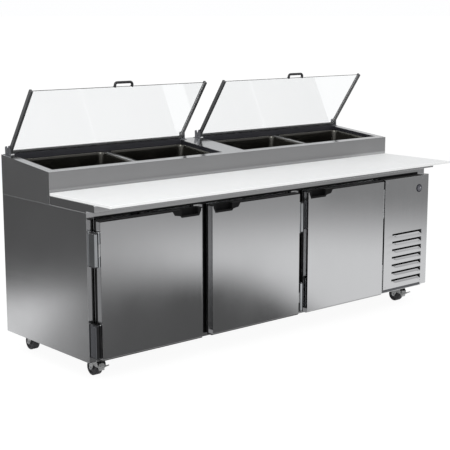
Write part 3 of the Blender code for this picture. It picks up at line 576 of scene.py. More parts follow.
def mitred(name, x, z, profile):
    """A profile of (inset, y) points swept round a rectangle with mitred corners."""
    loops = []
    for inset, y in profile:
        loops.append([place(px, y, pz) for px, pz in (
            (x[0] + inset, z[0] + inset), (x[1] - inset, z[0] + inset),
            (x[1] - inset, z[1] - inset), (x[0] + inset, z[1] - inset))])
    return loft(name, loops, ring=True)


# ---------------------------------------------------------------- cabinet
NOSE_BOTTOM = 27.91
NOSE_RADIUS = 0.3
HEM_RADIUS = 0.1
FRAME_GAP = 0.012
# Node, look and edge radius of the plain sheet pieces.
SHEETS = (
    ("side_panel_left", "steel_y", 0.12), ("side_panel_right", "steel_y", 0.07),
    ("back_panel", "steel_z", 0.05), ("floor_pan", "steel_x", 0.05),
    ("face_frame", "steel_x", 0.05), ("machine_surround", "steel_z", 0.06),
    ("divider_left", "steel_y", 0.06), ("divider_right", "steel_y", 0.06),
)


def cabinet():
    for sheet in SHEETS:
        dress(*sheet)
    repaint("machine_bulkhead", "aluminium")
    counter_top()
    dress("cutting_board", "board", 0.07, "poly_board").visible_glossy = False
    header()
    gland()
    back_screws()


def counter_top():
    """Counter sheet with a rounded nose and a returned hem under it."""
    low, high = span("counter_top")
    outline = [(high.y, high.z)]
    outline += arc((low.y + NOSE_RADIUS, high.z - NOSE_RADIUS), NOSE_RADIUS, 90, 180, 6)
    outline += arc((low.y + HEM_RADIUS, NOSE_BOTTOM + HEM_RADIUS), HEM_RADIUS, 180, 270, 4)
    outline += [(-FRAME_GAP, NOSE_BOTTOM), (-FRAME_GAP, low.z), (high.y, low.z)]
    piece = extrude("counter_sheet", "x", outline, (low.x, high.x))
    piece.visible_glossy = False
    settle(soften(piece, 0.03), "steel_x", "cabinet", ["counter_top"])


def header():
    """Black strips under the counter's nose, over the doors and over the machine panel: partly trim, partly
    painted shade of the gap under the nose.
    """
    cap_top = span("door_cap_1")[1].z
    panel_low, panel_high = span("louvre_panel")
    frame_front = span("face_frame")[0].y
    trims = [box("trim", (1.6, panel_low.x), (frame_front - 0.1, frame_front - 0.014),
                 (cap_top + 0.15, cap_top + 0.5)),
             box("trim", (panel_low.x + 0.05, panel_high.x - 0.1), (frame_front - 0.12, frame_front - 0.014),
                 (panel_high.z - 0.2, panel_high.z + 0.5)),
             box("trim", (panel_low.x + 0.05, panel_high.x - 0.1), (panel_low.y + 0.25, frame_front - 0.13),
                 (panel_high.z + 0.012, panel_high.z + 0.05))]
    settle(soften(joined("header_trim_and_shade", trims), 0.02, 2), "pull_black", "cabinet")


def gland():
    low, high = span("cord_gland")
    centre = ((low.x + high.x) / 2, low.y, (low.z + high.z) / 2)
    bore = 0.32
    profile = [(0, bore), (0, 0.88), (0.18, 0.88), (0.22, 0.84), (0.22, 0.6)]
    for step in range(5):
        profile += [(0.26 + step * 0.08, 0.58), (0.30 + step * 0.08, 0.53)]
    profile += [(high.y - low.y, 0.46), (high.y - low.y, bore)]
    settle(smooth(turned("cord_gland_ribbed", centre, (0, 1, 0), profile, 32, True)),
           "black_plastic", "cabinet", ["cord_gland"])


def back_screws():
    """Screws round the back panel and its rail."""
    low, high = span("back_panel")
    spots = [(low.x + 1.2 + (high.x - low.x - 2.4) * i / 8, high.y - 0.06, z)
             for i in range(9) for z in (1.0, high.z - 1.0)]
    bolts("back_panel_screws", spots, (0, 1, 0), "zinc", "cabinet", 0.12, 0.2, False)


# ---------------------------------------------------------------- pan rail and lids
def rail_slope():
    joint = next(j for j in frame["joints"] if j["name"] == "food_pan_1_lift")
    return math.atan2(joint["axis"][1], -joint["axis"][2])


def rail():
    dress("rail_housing", "rail_steel", 0.06, "rail_sheet")
    for label in LABELS:
        dress("collar_" + label, "collar_black", 0.05)
    lid_brackets()
    for index in range(4):
        food_pan(index)


def lid_brackets():
    """Two-pronged cheek, foot plate and bolts of each lid bracket; the CAD rail holds the pin."""
    prongs = [(-0.8, -0.5), (0.88, -0.5), (0.92, 0.95), (0.62, 1.12), (0.3, 0.5), (-0.02, 0.5),
              (-0.3, 1.2), (-0.68, 1.32)]
    for label in LABELS:
        frame_low, frame_high = span("lid_frame_" + label)
        pivot = joint_place("lid_%s_hinge" % label)
        parts = []
        for x, inward in ((frame_low.x, 1), (frame_high.x, -1)):
            cheek = sorted((x - inward * 0.035, x - inward * 0.36))
            parts.append(extrude("cheek", "x", [(pivot.y + a, pivot.z + b) for a, b in prongs], cheek))
            foot = sorted((x - inward * 0.035, x - inward * 0.85))
            base = [(pivot.y - 0.8, pivot.z - 0.63), (pivot.y + 0.85, pivot.z - 0.46),
                    (pivot.y + 0.85, pivot.z - 0.40), (pivot.y - 0.8, pivot.z - 0.57)]
            parts.append(extrude("foot", "x", base, foot))
            parts += bolt((x - inward * 0.36, pivot.y, pivot.z), (-inward, 0, 0), 0.15)
        settle(soften(joined("lid_brackets_" + label, parts), 0.02, 2), "dark_zinc", "cabinet")


PAN_HALF_DEPTH = 12.7 / 2
PAN_DEPTH = 5.8
PAN_SHEET = 0.05
PAN_CORNER = 1.25
# (inset, height) of the pan's inner surface, from the rolled rim down to the bottom.
PAN_RIM = ((0.02, -0.10), (0.0, -0.05), (0.04, -0.01), (0.12, 0.0), (0.46, 0.0), (0.56, -0.03),
           (0.62, -0.12))
PAN_WALL = ((0.66, -0.5), (0.72, -1.0), (1.15, -PAN_DEPTH + 0.9), (1.22, -PAN_DEPTH + 0.55),
            (1.38, -PAN_DEPTH + 0.24), (1.65, -PAN_DEPTH + 0.08), (2.1, -PAN_DEPTH + 0.02))
PAN_BOTTOM = (3.4, -PAN_DEPTH + 0.06)


def food_pan(index):
    """Deep-drawn pan: rolled rim, tapered sides, generous corners and a dished bottom."""
    name = "food_pan_%d" % (index + 1)
    low, high = span(name)
    tilt = rail_slope()
    turn = Matrix.Rotation(tilt, 3, "X")
    half_x = (high.x - low.x) / 2
    half_y = PAN_HALF_DEPTH
    # The rim plane's middle, found back from the box of the tilted pan.
    middle = Vector(((low.x + high.x) / 2, high.y - half_y * math.cos(tilt),
                     high.z - half_y * math.sin(tilt)))
    path = [*PAN_RIM, *PAN_WALL, PAN_BOTTOM]
    under = [(PAN_BOTTOM[0], PAN_BOTTOM[1] - PAN_SHEET)]
    under += [(inset - PAN_SHEET * 0.8, z - PAN_SHEET) for inset, z in reversed(PAN_WALL)]
    under += [(0.57, -0.16), (0.12, -0.06), (0.08, -0.10)]
    loops = []
    for inset, z in under + path:
        radius = max(0.35, PAN_CORNER - inset * 0.25) if inset > 0.3 else 0.7 + inset
        outline = rounded_outline((-half_x + inset, half_x - inset),
                                  (-half_y + inset, half_y - inset), radius, 6)
        loops.append([place(*(middle + turn @ Vector((a, b, z)))) for a, b in outline])
    settle(smooth(loft(name + "_drawn", loops), 50), "pan_steel", BODIES[name], [name])


def lid(label):
    dress("lid_frame_" + label, "lid_black", 0.05, "lid_bars_" + label)
    dress("lid_pane_" + label, "clear_pane", 0.03, "lid_sheet_" + label)
    lid_grip(label, "lid_" + label)


LID_ANGLE = math.radians(124.5)
LID_LENGTH = 14.8
HANDLE_ROD = 0.27
HANDLE_RISE = 0.61
HANDLE_BEND = 0.5
HANDLE_STUB = 0.25
HANDLE_LEAN = math.radians(34.5)


def lid_grip(label, body):
    """Bent rod that leans out from the pane's edge, with a flared foot at each end."""
    low, high = span("lid_handle_" + label)
    hinge = joint_place("lid_%s_hinge" % label)
    half = (high.x - low.x) / 2 - HANDLE_ROD - 0.01
    along = Vector((0, math.cos(LID_ANGLE), math.sin(LID_ANGLE)))
    out = Vector((0, along.z, -along.y))
    lean = along * math.cos(HANDLE_LEAN) + out * math.sin(HANDLE_LEAN)
    middle = Vector(((low.x + high.x) / 2, hinge.y, hinge.z))
    foot = middle + along * (LID_LENGTH + 0.012) + out * 0.02
    leg = arc((-half + HANDLE_BEND, HANDLE_RISE - HANDLE_BEND), HANDLE_BEND, 180, 90, 10)
    leg += [(-a, b) for a, b in reversed(leg)]
    points = [foot + along * HANDLE_STUB + Vector((a, 0, 0)) + lean * up
              for a, up in [(-half, 0)] + leg + [(half, 0)]]
    points = [foot + Vector((-half, 0, 0))] + points + [foot + Vector((half, 0, 0))]
    settle(tube("lid_grip_" + label, [tuple(p) for p in points], HANDLE_ROD, 6), "black_plastic", body,
           ["lid_handle_" + label])
    feet = []
    for sign in (-1, 1):
        spot = foot + Vector((sign * half, 0, 0))
        feet.append(turned("foot", spot, along, [(0, 0.32), (0.05, 0.32), (0.1, 0.28), (0.13, 0.24)], 24))
    settle(smooth(joined("lid_grip_feet_" + label, feet)), "black_plastic", body)


# ---------------------------------------------------------------- doors
THERMAL_BREAK = 0.45
KNUCKLE_ZONE = 0.3


def shade_knuckle(skin, axis, low, high):
    """Painted shade: black on the door's own knuckle at one hinge, where the gap lies in shadow."""
    skin.data.materials.append(LOOKS["pull_black"])
    for polygon in skin.data.polygons:
        corners = [shop(skin.data.vertices[i].co) for i in polygon.vertices]
        if all(low.z < c.z < high.z and (c - axis).xy.length < KNUCKLE_ZONE for c in corners):
            polygon.material_index = 1


def door(index):
    number = index + 1
    body = "door_%d" % number
    shell = "door_shell_%d" % number
    seal = "door_gasket_%d" % number
    low, high = span(shell)
    skin = sliced(solid_of(shell, "door_skin_%d" % number), high.y - THERMAL_BREAK, True)
    rounded_edge(skin, low.y, low.z, 0.42)
    # Doors 1 and 2 take the steel with painted shade on the lower edge.
    settle(soften(skin, 0.07), "door_steel" if index < 2 else "steel_z", body, [shell])
    if index == 0:
        shade_knuckle(skin, joint_place("door_1_hinge"), *span("hinge_bracket_1_lower"))
    band = sliced(solid_of(shell, "door_break_%d" % number), high.y - THERMAL_BREAK, False)
    settle(soften(band, 0.04), "pull_black", body)
    dress("door_cap_%d" % number, "pull_black", 0.05, "door_pull_%d" % number)
    low, high = span(seal)
    back, front = low.y, high.y
    x, z = (low.x, high.x), (low.z, high.z)
    profile = [(0.12, back), (0.02, back + 0.08), (0.0, back + 0.2), (0.08, front - 0.04), (0.2, front),
               (0.42, front), (0.54, front - 0.06), (0.5, front - 0.14), (0.36, front - 0.2),
               (0.5, back + 0.1), (0.44, back)]
    settle(smooth(mitred("door_seal_%d" % number, x, z, profile), 60), "gasket", body, [seal])
    liner_x = (x[0] + 0.75, x[1] - 0.75)
    liner_z = (z[0] + 0.75, z[1] - 0.75)
    loops = []
    for inset, y in ((0, back - 0.02), (0.1, back + 0.16), (0.3, back + 0.24), (1.1, back + 0.24),
                     (1.35, back + 0.16), (1.5, back + 0.14)):
        outline = rounded_outline((liner_x[0] + inset, liner_x[1] - inset),
                                  (liner_z[0] + inset, liner_z[1] - inset), 0.9, 5)
        loops.append([place(a, y, b) for a, b in outline])
    settle(smooth(loft("door_liner_%d" % number, loops), 45), "white_plastic", body)


HINGE_REACH = -1.0
COVER_FRONT = -2.08
KNUCKLE_LENGTH = 2.0
HINGE_BACK = -0.13


def hinge(index, which):
    """Fixed hinge half: foot, arm, knuckles, pin heads, rounded cover with end caps."""
    number = index + 1
    half = ("lower", "upper")[which]
    name = "hinge_bracket_%d_%s" % (number, half)
    low, high = span(name)
    axis = joint_place("door_%d_hinge" % number)
    door_low, door_high = span("door_cap_%d" % number)
    sense = 1 if abs(door_low.x - axis.x) < abs(door_high.x - axis.x) else -1
    covered = index < 2

    def across(near, far):
        return tuple(sorted((axis.x + sense * near, axis.x + sense * far)))

    z = (low.z, high.z)
    metal = [box("foot", across(HINGE_REACH if covered else -0.42, 0.07), (-0.12, -FRAME_GAP), z),
             box("arm", across(-0.07, 0.07), (axis.y + 0.1, -0.06), z)]
    knuckle = [(0, 0.14), (0.03, 0.175), (KNUCKLE_LENGTH - 0.03, 0.175), (KNUCKLE_LENGTH, 0.14)]
    for start in (z[0], z[1] - KNUCKLE_LENGTH):
        metal.append(turned("knuckle", (axis.x, axis.y, start), (0, 0, 1), knuckle, 28))
    piece = soften(joined(name + "_plate", metal), 0.02, 2)
    # Painted shade: the lower knuckles of the covered hinges are black, for the shadowed gap.
    knuckle_look = "bright" if not covered else ("pull_black", "hinge_upper")[which]
    settle(piece, knuckle_look, "cabinet", [name])
    pins = [turned("pin", (axis.x, axis.y, end), (0, 0, sign),
                   [(-0.02, 0.15), (0.04, 0.15), (0.08, 0.1), (0.09, 0.02)], 20)
            for end, sign in ((z[1], 1), (z[0], -1))]
    settle(smooth(joined(name + "_pin_heads", pins)), "bright", "cabinet")
    if not covered:
        return
    # Painted shade on door 1's lower hinge: darker cover steel, the cover moved forward and a black strip on its
    # front.
    shaded = index == 0 and which == 0
    cover_front = COVER_FRONT + 0.07 if shaded else COVER_FRONT
    outline = rounded_outline(across(HINGE_REACH, -0.36), (cover_front, HINGE_BACK), 0.12, 6)
    inner = (z[0] + 0.2, z[1] - 0.2)
    settle(soften(extrude(name + "_cover", "z", outline, inner), 0.02, 2),
           "hinge_shaded_steel" if shaded else "hinge_upper", "cabinet")
    if shaded:
        shade = box(name + "_front", across(-0.98, -0.37), (COVER_FRONT, cover_front - 0.01), inner)
        settle(soften(shade, 0.02, 2), "pull_black", "cabinet")
    cap_outline = rounded_outline(across(HINGE_REACH, -0.34), (COVER_FRONT, HINGE_BACK), 0.14, 6)
    ends = [extrude("cap", "z", cap_outline, (inner[1] + FRAME_GAP, z[1])),
            extrude("cap", "z", cap_outline, (z[0], inner[0] - FRAME_GAP))]
    settle(soften(joined(name + "_caps", ends), 0.05), "black_plastic", "cabinet")


# ---------------------------------------------------------------- machine bay
LOUVRES = 7
LOUVRE_PITCH = 1.735
LOUVRE_X = (80.0, 90.0)
LOUVRE_TOP = 13.95
LOUVRE_SLOT = 0.42
LOUVRE_MOUTH = 0.66
LOUVRE_MOUTH_WIDTH = 1.05
KICK_SHADE_HEIGHT = 0.12
PANEL_TRIM = 0.25
RETURN_GAP = 0.32
PANEL_SHEET = 0.09
DIAL_PROUD = 0.16
KNOB_RIBS = 20
HOOD_STEPS = 30


def louvre_panel():
    """Panel sheet with returned edges, seven slots and a pressed hood under each."""
    low, high = span("louvre_panel")
    face = low.y + DIAL_PROUD
    slots = [(LOUVRE_TOP - i * LOUVRE_PITCH - LOUVRE_SLOT, LOUVRE_TOP - i * LOUVRE_PITCH)
             for i in range(LOUVRES)]
    bottom = low.z + PANEL_TRIM
    settle(panel_sheet(low, high, face, bottom, slots), "steel_z", "machine_panel", ["louvre_panel"])
    surround = span("machine_surround")[0]
    # Painted shade: a dark strip on the surround's bottom rail under the panel, where it lies in shadow.
    kick = box("machine_kick_shade_strip", (surround.x + 0.05, high.x - 0.1),
               (surround.y - 0.3, surround.y - FRAME_GAP), (surround.z, bottom + KICK_SHADE_HEIGHT))
    settle(soften(kick, 0.03), "dark_zinc", "cabinet")
    behind = high.y - RETURN_GAP
    returned = mitred("machine_panel_edges", (low.x, high.x), (bottom, high.z),
                      [(0.0, face + 0.03), (0.0, behind), (0.5, behind), (0.5, behind - PANEL_SHEET),
                       (PANEL_SHEET, behind - PANEL_SHEET), (PANEL_SHEET, face + 0.06)])
    settle(soften(returned, 0.02, 2), "steel_z", "machine_panel")
    # A black sheet behind the slots: partly a filter, partly painted shade of the bay seen through them.
    baffle = box("louvre_backing_and_shade", (LOUVRE_X[0] - 0.4, high.x - 0.12), (high.y - 0.06, high.y - 0.02),
                 (bottom + 0.3, LOUVRE_TOP + 0.3))
    settle(baffle, "pull_black", "machine_panel")
    hoods = [hood(slot[0], face) for slot in slots]
    settle(smooth(joined("louvre_hoods", hoods), 40), "steel_z", "machine_panel")
    spots = [(x, face, z) for x in (low.x + 0.7, high.x - 0.7) for z in (bottom + 0.5, high.z - 0.6)]
    bolts("machine_panel_screws", spots, (0, -1, 0), "steel_z", "machine_panel", 0.07, 0.1, False)
    dial()


def panel_sheet(low, high, face, bottom, slots):
    """A sheet with a gap for each slot, cut further down at the slot's right end."""
    xs = [low.x, LOUVRE_X[0], LOUVRE_X[1] - LOUVRE_MOUTH_WIDTH, LOUVRE_X[1], high.x]
    zs = sorted([bottom, high.z] + [z for slot in slots for z in (slot[0] - LOUVRE_MOUTH, *slot)])
    slot_rows = [zs.index(slot[0]) for slot in slots]
    bm = bmesh.new()
    grid = [[bm.verts.new(place(x, face, z)) for x in xs] for z in zs]
    for j in range(len(zs) - 1):
        for i in range(len(xs) - 1):
            if i in (1, 2) and j in slot_rows or i == 2 and j + 1 in slot_rows:
                continue
            bm.faces.new((grid[j][i], grid[j][i + 1], grid[j + 1][i + 1], grid[j + 1][i]))
    mesh = bpy.data.meshes.new("machine_panel_face")
    bm.to_mesh(mesh)
    bm.free()
    panel = linked("machine_panel_sheet", mesh)
    thick = panel.modifiers.new("sheet", "SOLIDIFY")
    thick.thickness = PANEL_SHEET * INCH
    thick.offset = -1
    return soften(panel, 0.03)


def hood(low, face):
    """The pressed lip below one slot: soft at its left end, cut open at its right end."""
    left = LOUVRE_X[0] + 0.02
    right = LOUVRE_X[1] - 0.02
    loops = []
    for i in range(HOOD_STEPS + 1):
        x = left + (right - left) * i / HOOD_STEPS
        rise = min(1.0, (x - left) / 1.7)
        swell = max(0.04, rise * rise * (3 - 2 * rise))
        opened = max(0.0, (x - (LOUVRE_X[1] - LOUVRE_MOUTH_WIDTH)) / LOUVRE_MOUTH_WIDTH)
        top = low + 0.03 - (LOUVRE_MOUTH - 0.02) * opened ** 0.8
        out = 0.055 * swell * (1 - 0.6 * opened)
        foot = low - 0.55 * swell - 0.12
        loops.append([place(x, face + 0.02, top), place(x, face - out, top - 0.01),
                      place(x, face - out, top - 0.05), place(x, face - out * 0.85, top - 0.12),
                      place(x, face - out * 0.35, (top + foot) / 2 - 0.08),
                      place(x, face + 0.02, foot), place(x, face + 0.05, foot + 0.02)])
    return loft("hood", loops)


def dial():
    """Thermostat: plain bezel, ribbed knob and a pointer."""
    centre = joint_place("dial_turn")
    y = centre.y
    knob = turned("knob_body", centre, (0, -1, 0), [(0, 0.62), (0.04, 0.66), (0.1, 0.64), (0.16, 0.5),
                                                    (0.2, 0.46), (0.36, 0.42), (0.4, 0.34)], 40)
    ribs = []
    for i in range(KNOB_RIBS):
        turn = 2 * math.pi * i / KNOB_RIBS
        spot = (centre.x + 0.44 * math.cos(turn), y - 0.2, centre.z + 0.44 * math.sin(turn))
        ribs.append(turned("rib", spot, (0, -1, 0), [(0, 0.035), (0.15, 0.03)], 6))
    pointer = box("pointer", (centre.x - 0.03, centre.x + 0.03), (y - 0.41, y - 0.38),
                  (centre.z + 0.05, centre.z + 0.33))
    settle(smooth(joined("thermostat_knob", [knob] + ribs)), "grey_plastic", "dial", ["temperature_dial"])
    settle(pointer, "white_plastic", "dial")
    bezel = turned("thermostat_bezel", centre, (0, -1, 0),
                   [(0, 0.68), (0, 0.9), (0.06, 0.9), (0.12, 0.84), (0.12, 0.68)], 40, True)
    settle(smooth(bezel), "dial_grey", "machine_panel")


# ---------------------------------------------------------------- casters
def caster(label):
    body = "caster_" + label
    dress("caster_fork_" + label, "zinc", 0.035)
    pin = joint_place("caster_%s_swivel" % label)
    axle = joint_place("caster_%s_roll" % label)
    low, high = span("caster_wheel_" + label)
    race = turned("race", (pin.x, pin.y, -0.19), (0, 0, 1),
                  [(0, 0.3), (0, 0.86), (0.03, 0.92), (0.05, 0.92), (0.05, 0.3)], 40, True)
    settle(smooth(race), "bright", body)
    nuts = []
    for sign in (-1, 1):
        nuts += bolt((axle.x + sign * 0.93, axle.y, axle.z), (sign, 0, 0), 0.24)
    settle(smooth(joined("axle_nuts_" + label, nuts)), "bright", body)
    spots = [(pin.x + dx, pin.y + dy, -0.14) for dx in (-1.35, 1.35) for dy in (-0.9, 0.9)]
    bolts("plate_bolts_" + label, spots, (0, 0, -1), "bright", "cabinet", 0.17)
    wheel(label, axle, low, high)
    if label.startswith("front"):
        dress("brake_lever_" + label, "zinc", 0.05)


def wheel(label, axle, low, high):
    width = high.x - low.x
    radius = (high.z - low.z) / 2
    centre = (low.x, axle.y, axle.z)
    tread = [(0.0, 1.12), (0.0, radius - 0.16)]
    tread += [(0.14 - 0.14 * math.cos(t), radius - 0.14 + 0.14 * math.sin(t)) for t in (0.4, 0.8, 1.2, 1.57)]
    tread += [(width - a, b) for a, b in reversed(tread)]
    body = "wheel_" + label
    settle(smooth(turned("tread_" + label, centre, (1, 0, 0), tread, 56, True)), "tyre", body,
           ["caster_wheel_" + label])
    core = [(0.05, 0.2), (0.02, 0.42), (0.05, 0.5), (0.2, 0.56), (0.22, 0.95), (0.06, 1.06), (0.06, 1.13)]
    core += [(width - a, b) for a, b in reversed(core)]
    settle(smooth(turned("hub_" + label, centre, (1, 0, 0), core, 40, True)), "hub_black", body)


# ---------------------------------------------------------------- inside
SHELF_ROD = 0.11
SHELF_WIRE = 0.055
SHELF_GAPS = 26
FAN_GUARD_WIRE = 0.05
COIL_FINS = 48
COIL_BENDS = 5


def wire_shelf(index):
    name = "wire_shelf_%d" % (index + 1)
    low, high = span(name)
    z = (low.z + high.z) / 2
    size = high - low
    rods = [rod((low.x + SHELF_ROD, y, z - 0.02), (1, 0, 0), size.x - 2 * SHELF_ROD, SHELF_ROD)
            for y in (low.y + SHELF_ROD, (low.y + high.y) / 2, high.y - SHELF_ROD)]
    rods += [rod((x, low.y + SHELF_ROD, z), (0, 1, 0), size.y - 2 * SHELF_ROD, SHELF_ROD)
             for x in (low.x + SHELF_ROD, high.x - SHELF_ROD)]
    rods += [rod((low.x + size.x * i / SHELF_GAPS, low.y + 0.1, high.z - 0.06), (0, 1, 0),
                 size.y - 0.2, SHELF_WIRE, 8) for i in range(1, SHELF_GAPS)]
    settle(smooth(joined(name + "_wires", rods), 50), "zinc", "cabinet", [name])


def fan_guard(name, centre, radius):
    """Wire rings and spokes over a fan's well, standing a little in front of it."""
    wires = []
    for share in (1.0, 0.78, 0.56, 0.34):
        ring = [(FAN_GUARD_WIRE * math.sin(t), radius * share + FAN_GUARD_WIRE * math.cos(t))
                for t in (i * math.pi / 3 for i in range(6))]
        wires.append(turned("ring", centre, (0, 1, 0), ring, 36, True))
    for i in range(4):
        turn = math.pi * (0.25 + 0.5 * i)
        spoke = Vector((math.cos(turn), 0, math.sin(turn)))
        start = Vector(centre) + spoke * radius * 0.3 - Vector((0, 0.06, 0))
        wires.append(rod(start, spoke, radius * 0.75, 0.06, 8))
    settle(smooth(joined(name, wires), 50), "bright", "cabinet")


def fins(name, xs, half, y, z):
    """Thin upright plates in front of a coil."""
    slats = [box("fin", (x - half, x + half), y, z) for x in xs]
    settle(soften(joined(name, slats), 0), "bright", "cabinet")


def evaporator():
    """Sheet housing with a fan guard, corner screws and rows of fins under its front edge."""
    dress("evaporator", "aluminium", 0.05)
    low, high = span("evaporator")
    fan_place = joint_place("evaporator_fan_spin")
    fan_guard("evaporator_guard", (fan_place.x, low.y - 0.12, fan_place.z), 4.2)
    spots = [(x, low.y, z) for x in (low.x + 0.5, high.x - 0.5) for z in (low.z + 0.5, high.z - 0.5)]
    bolts("evaporator_screws", spots, (0, -1, 0), "bright", "cabinet", 0.13, 0.2, False)
    xs = []
    for first, last in ((low.x + 1.2, fan_place.x - 5.0), (fan_place.x + 5.0, high.x - 1.2)):
        count = int((last - first) / 0.34)
        xs += [first + (last - first) * (i + 0.5) / count for i in range(count)]
    fins("evaporator_fins", xs, 0.05, (low.y - 0.1, low.y - 0.012), (low.z + 1.2, high.z - 1.2))


def condensing_unit():
    """Finned coil with return bends, and a welded can with its terminal box and copper pipes."""
    dress("condenser", "aluminium", 0.03)
    low, high = span("condenser")
    front = low.y
    xs = [low.x + 0.35 + (high.x - low.x - 0.7) * i / (COIL_FINS - 1) for i in range(COIL_FINS)]
    fins("condenser_fins", xs, 0.035, (front - 0.12, front - 0.012), (low.z + 0.35, high.z - 0.35))
    for i in range(COIL_BENDS):
        z = low.z + 1.4 + (high.z - low.z - 2.8) * i / (COIL_BENDS - 1)
        bend = [(high.x + 0.02 + a, front + 0.7, b) for a, b in arc((0.0, z), 0.45, -90, 90, 12)]
        settle(tube("return_bend_%d" % (i + 1), bend, 0.16, 4), "copper", "cabinet")
    dress("compressor", "black_paint", 0.06)
    low_can, high_can = span("compressor")
    x = (low_can.x + high_can.x) / 2
    y = (low_can.y + high_can.y) / 2
    seam = turned("weld_seam", (x, y, low_can.z + 4.2), (0, 0, 1),
                  [(0, 3.32), (0.05, 3.42), (0.25, 3.42), (0.3, 3.32)], 48, True)
    settle(smooth(seam), "black_paint", "cabinet")
    terminals = extrude("terminal_box", "z", rounded_outline((x - 0.9, x + 0.9), (y - 4.3, y - 3.2), 0.2),
                        (low_can.z + 2.2, low_can.z + 4.0))
    settle(soften(terminals, 0.06), "black_plastic", "cabinet")
    side = high.x + 0.6
    pipe = [(x + 1.2, y, high_can.z - 0.6), (x + 1.2, y, high_can.z + 0.9)]
    pipe += [(x + 2.0 - 0.8 * math.cos(t), y, high_can.z + 0.9 + 0.8 * math.sin(t))
                for t in (0.5, 1.1, 1.57)]
    pipe += [(side - 0.6, y, high_can.z + 1.7), (side - 0.2, y - 0.3, high_can.z + 1.7),
                (side, y - 0.9, high_can.z + 1.7), (side, front + 2.4, high_can.z + 1.7),
                (side, front + 1.5, high.z - 1.0), (side - 0.3, front + 0.9, high.z - 1.0),
                (high.x + 0.03, front + 0.7, high.z - 1.0)]
    settle(tube("discharge_pipe", pipe, 0.13, 4), "copper", "cabinet")


def inside():
    for index in range(3):
        wire_shelf(index)
    evaporator()
    repaint("evaporator_fan", "black_plastic")
    condensing_unit()
    repaint("condenser_fan", "black_plastic")


# ---------------------------------------------------------------- studio
CAMERA_PLACE = (-3.97655, -4.44310, 1.67292)
CAMERA_AIM = (0.64450, 0.74238, -0.18303)
LENS = 90.3


def aimed(name, data, place_at, direction):
    """A camera or light at a place in metres, looking along a direction."""
    made = linked(name, data)
    made.location = place_at
    made.rotation_mode = "QUATERNION"
    made.rotation_quaternion = Vector(direction).to_track_quat("-Z", "Y")
    return made


def camera():
    data = bpy.data.cameras.new("camera")
    data.lens = LENS
    data.sensor_width = 36
    data.clip_end = 3000
    bpy.context.scene.camera = aimed("camera", data, CAMERA_PLACE, CAMERA_AIM)


# The studio is a grey room with a white ceiling.  Azimuth runs from the front (0) towards
# the right (90), elevation is below the horizon where negative.
# Soft panels: azimuth span, elevation span, softness in degrees, strength.
PANELS = (
    ((-200, -146), (-30.0, -13.2), 0.9, 0.22),
    ((-140, -95), (-24.0, -11.0), 2.5, 0.30),
    ((92, 154), (-24.0, -6.0), 4.0, 0.45),
    ((154, 200), (-30.0, -13.2), 4.0, 0.22),
    ((-92, 22), (-22.0, -5.0), 4.0, 0.42),
    ((15, 46), (-9.7, -7.95), 0.4, 0.07),
)
GROUND = 0.115
HORIZON_GREY = 0.31
SKY = 1.0
OVERHEAD = 0.86
FLOOR_GLOW = 0.42
KEY_PLACE = (-3.0, -3.5, 4.0)
KEY_TARGET = (0, 0, 0.6)
KEY_SIZE = 2.5
KEY_POWER = 105
DEGREES = 57.29578


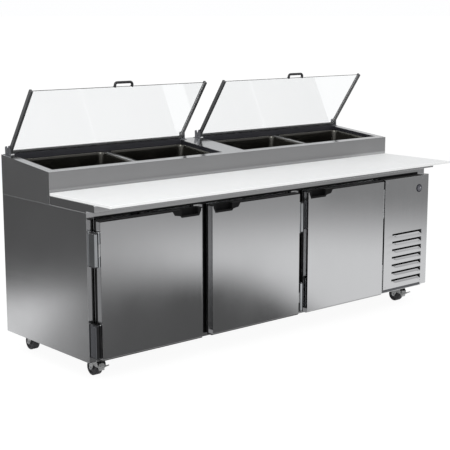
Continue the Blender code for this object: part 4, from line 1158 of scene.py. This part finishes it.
def studio():
    world = bpy.data.worlds.new("studio")
    bpy.context.scene.world = world
    world.use_nodes = True
    tree = world.node_tree
    coordinates = node(tree, "TexCoord")
    split = node(tree, "SeparateXYZ")
    feed(split, "Vector", coordinates.outputs["Generated"])
    front = times(split.outputs["Y"], -1.0)
    azimuth = times(maths("ARCTAN2", split.outputs["X"], front), DEGREES)
    elevation = times(maths("ARCSINE", split.outputs["Z"]), DEGREES)

    ceiling = edge(elevation, -4.5, -0.8)
    light = plus(times(ceiling, SKY - GROUND), GROUND)
    light = plus(light, times(edge(elevation, 2.0, 9.0), OVERHEAD - SKY))
    for (left, right), (low, high), soft, strength in PANELS:
        rows = times(edge(elevation, low - soft, low + soft), edge(elevation, high + soft, high - soft))
        columns = times(edge(azimuth, left - soft, left + soft),
                        edge(azimuth, right + soft, right - soft))
        light = plus(light, times(times(rows, columns), strength))
    # A bright opening behind the left side; its front edge leans.
    lean = plus(times(azimuth, -1.0), times(elevation, 0.87))
    doorway = times(edge(lean, 134.1, 135.7), edge(elevation, -13.35, -14.7))
    light = plus(light, times(times(doorway, edge(elevation, -27.0, -22.0)), 0.76))
    # The front right of the room: a bright floor sheet that begins further down towards the
    # front, grey above it, and a dark opening over the horizon.
    sector = times(edge(azimuth, 14, 24), edge(azimuth, 95, 80))
    bow = maths("MAXIMUM", maths("SUBTRACT", azimuth, 40.5), 0.0)
    start = maths("SUBTRACT", -13.2, times(maths("POWER", bow, 1.75), 0.11))
    above = maths("SUBTRACT", elevation, start)
    sheet = maths("MAXIMUM", edge(above, -1.15, 1.15), edge(azimuth, 45.5, 48.0))
    fade = remap(azimuth, 0.53, 1.0, 35.0, 45.0)
    rise = times(edge(elevation, -8.8, -12.2), 0.63)
    bright = plus(plus(times(rise, fade), HORIZON_GREY), -GROUND)
    grey = times(times(sheet, bright), edge(elevation, -0.8, -4.5))
    grey = times(grey, remap(elevation, 0.4, 1.0, -24.0, -17.0))
    light = plus(light, times(grey, sector))
    # The floor near the cabinet is darker still, and the back of the room a little dimmer.
    light = plus(light, times(edge(elevation, -17.5, -22.0), -0.09))
    dim = times(edge(elevation, 4.0, 7.0), edge(elevation, 40.0, 28.0))
    dim = times(dim, times(edge(azimuth, 95, 108), edge(azimuth, 180, 168)))
    light = plus(light, times(dim, -0.33))
    light = maths("MAXIMUM", light, 0.02)
    # The pale floor close by, seen only in faces looked at from above.
    glow = times(edge(elevation, -20.5, -28.0), edge(elevation, -50.0, -40.0))
    light = plus(light, times(glow, FLOOR_GLOW))
    opening = times(edge(elevation, -1.5, 0.5), edge(elevation, 34, 22))
    opening = times(opening, times(edge(azimuth, -10, 8), edge(azimuth, 88, 76)))
    light = plus(light, times(opening, -0.42))
    background = tree.nodes["Background"]
    feed(background, "Strength", light)
    background.inputs["Color"].default_value = (0.99, 0.993, 1.0, 1)


def floor():
    size = 900.0
    mesh = bpy.data.meshes.new("floor")
    mesh.from_pydata([(-size, -size, 0), (size, -size, 0), (size, size, 0), (-size, size, 0)], [],
                     [(0, 1, 2, 3)])
    made = linked("floor", mesh)
    pale = material("pale_floor", (0.12, 0.12, 0.12), 0.0, 0.9, Specular_IOR_Level=0.0,
                    Emission_Color=(1, 1, 1, 1), Emission_Strength=0.93)[0]
    made.data.materials.append(pale)
    made.visible_glossy = False
    made.visible_shadow = False


def key_light():
    """A soft light from the front left, above; it isn't seen itself."""
    data = bpy.data.lights.new("key", "AREA")
    data.shape = "RECTANGLE"
    data.size = data.size_y = KEY_SIZE
    data.energy = KEY_POWER
    aimed("key", data, KEY_PLACE, Vector(KEY_TARGET) - Vector(KEY_PLACE)).visible_camera = False


# ---------------------------------------------------------------- everything
camera()
studio()
floor()
key_light()
cabinet()
rail()
for side_label in LABELS:
    lid(side_label)
for door_index in range(3):
    door(door_index)
    for hinge_half in range(2):
        hinge(door_index, hinge_half)
louvre_panel()
for row in ("front", "back"):
    for side_label in LABELS:
        caster(row + "_" + side_label)
inside()
bpy.context.scene.view_settings.view_transform = "Standard"
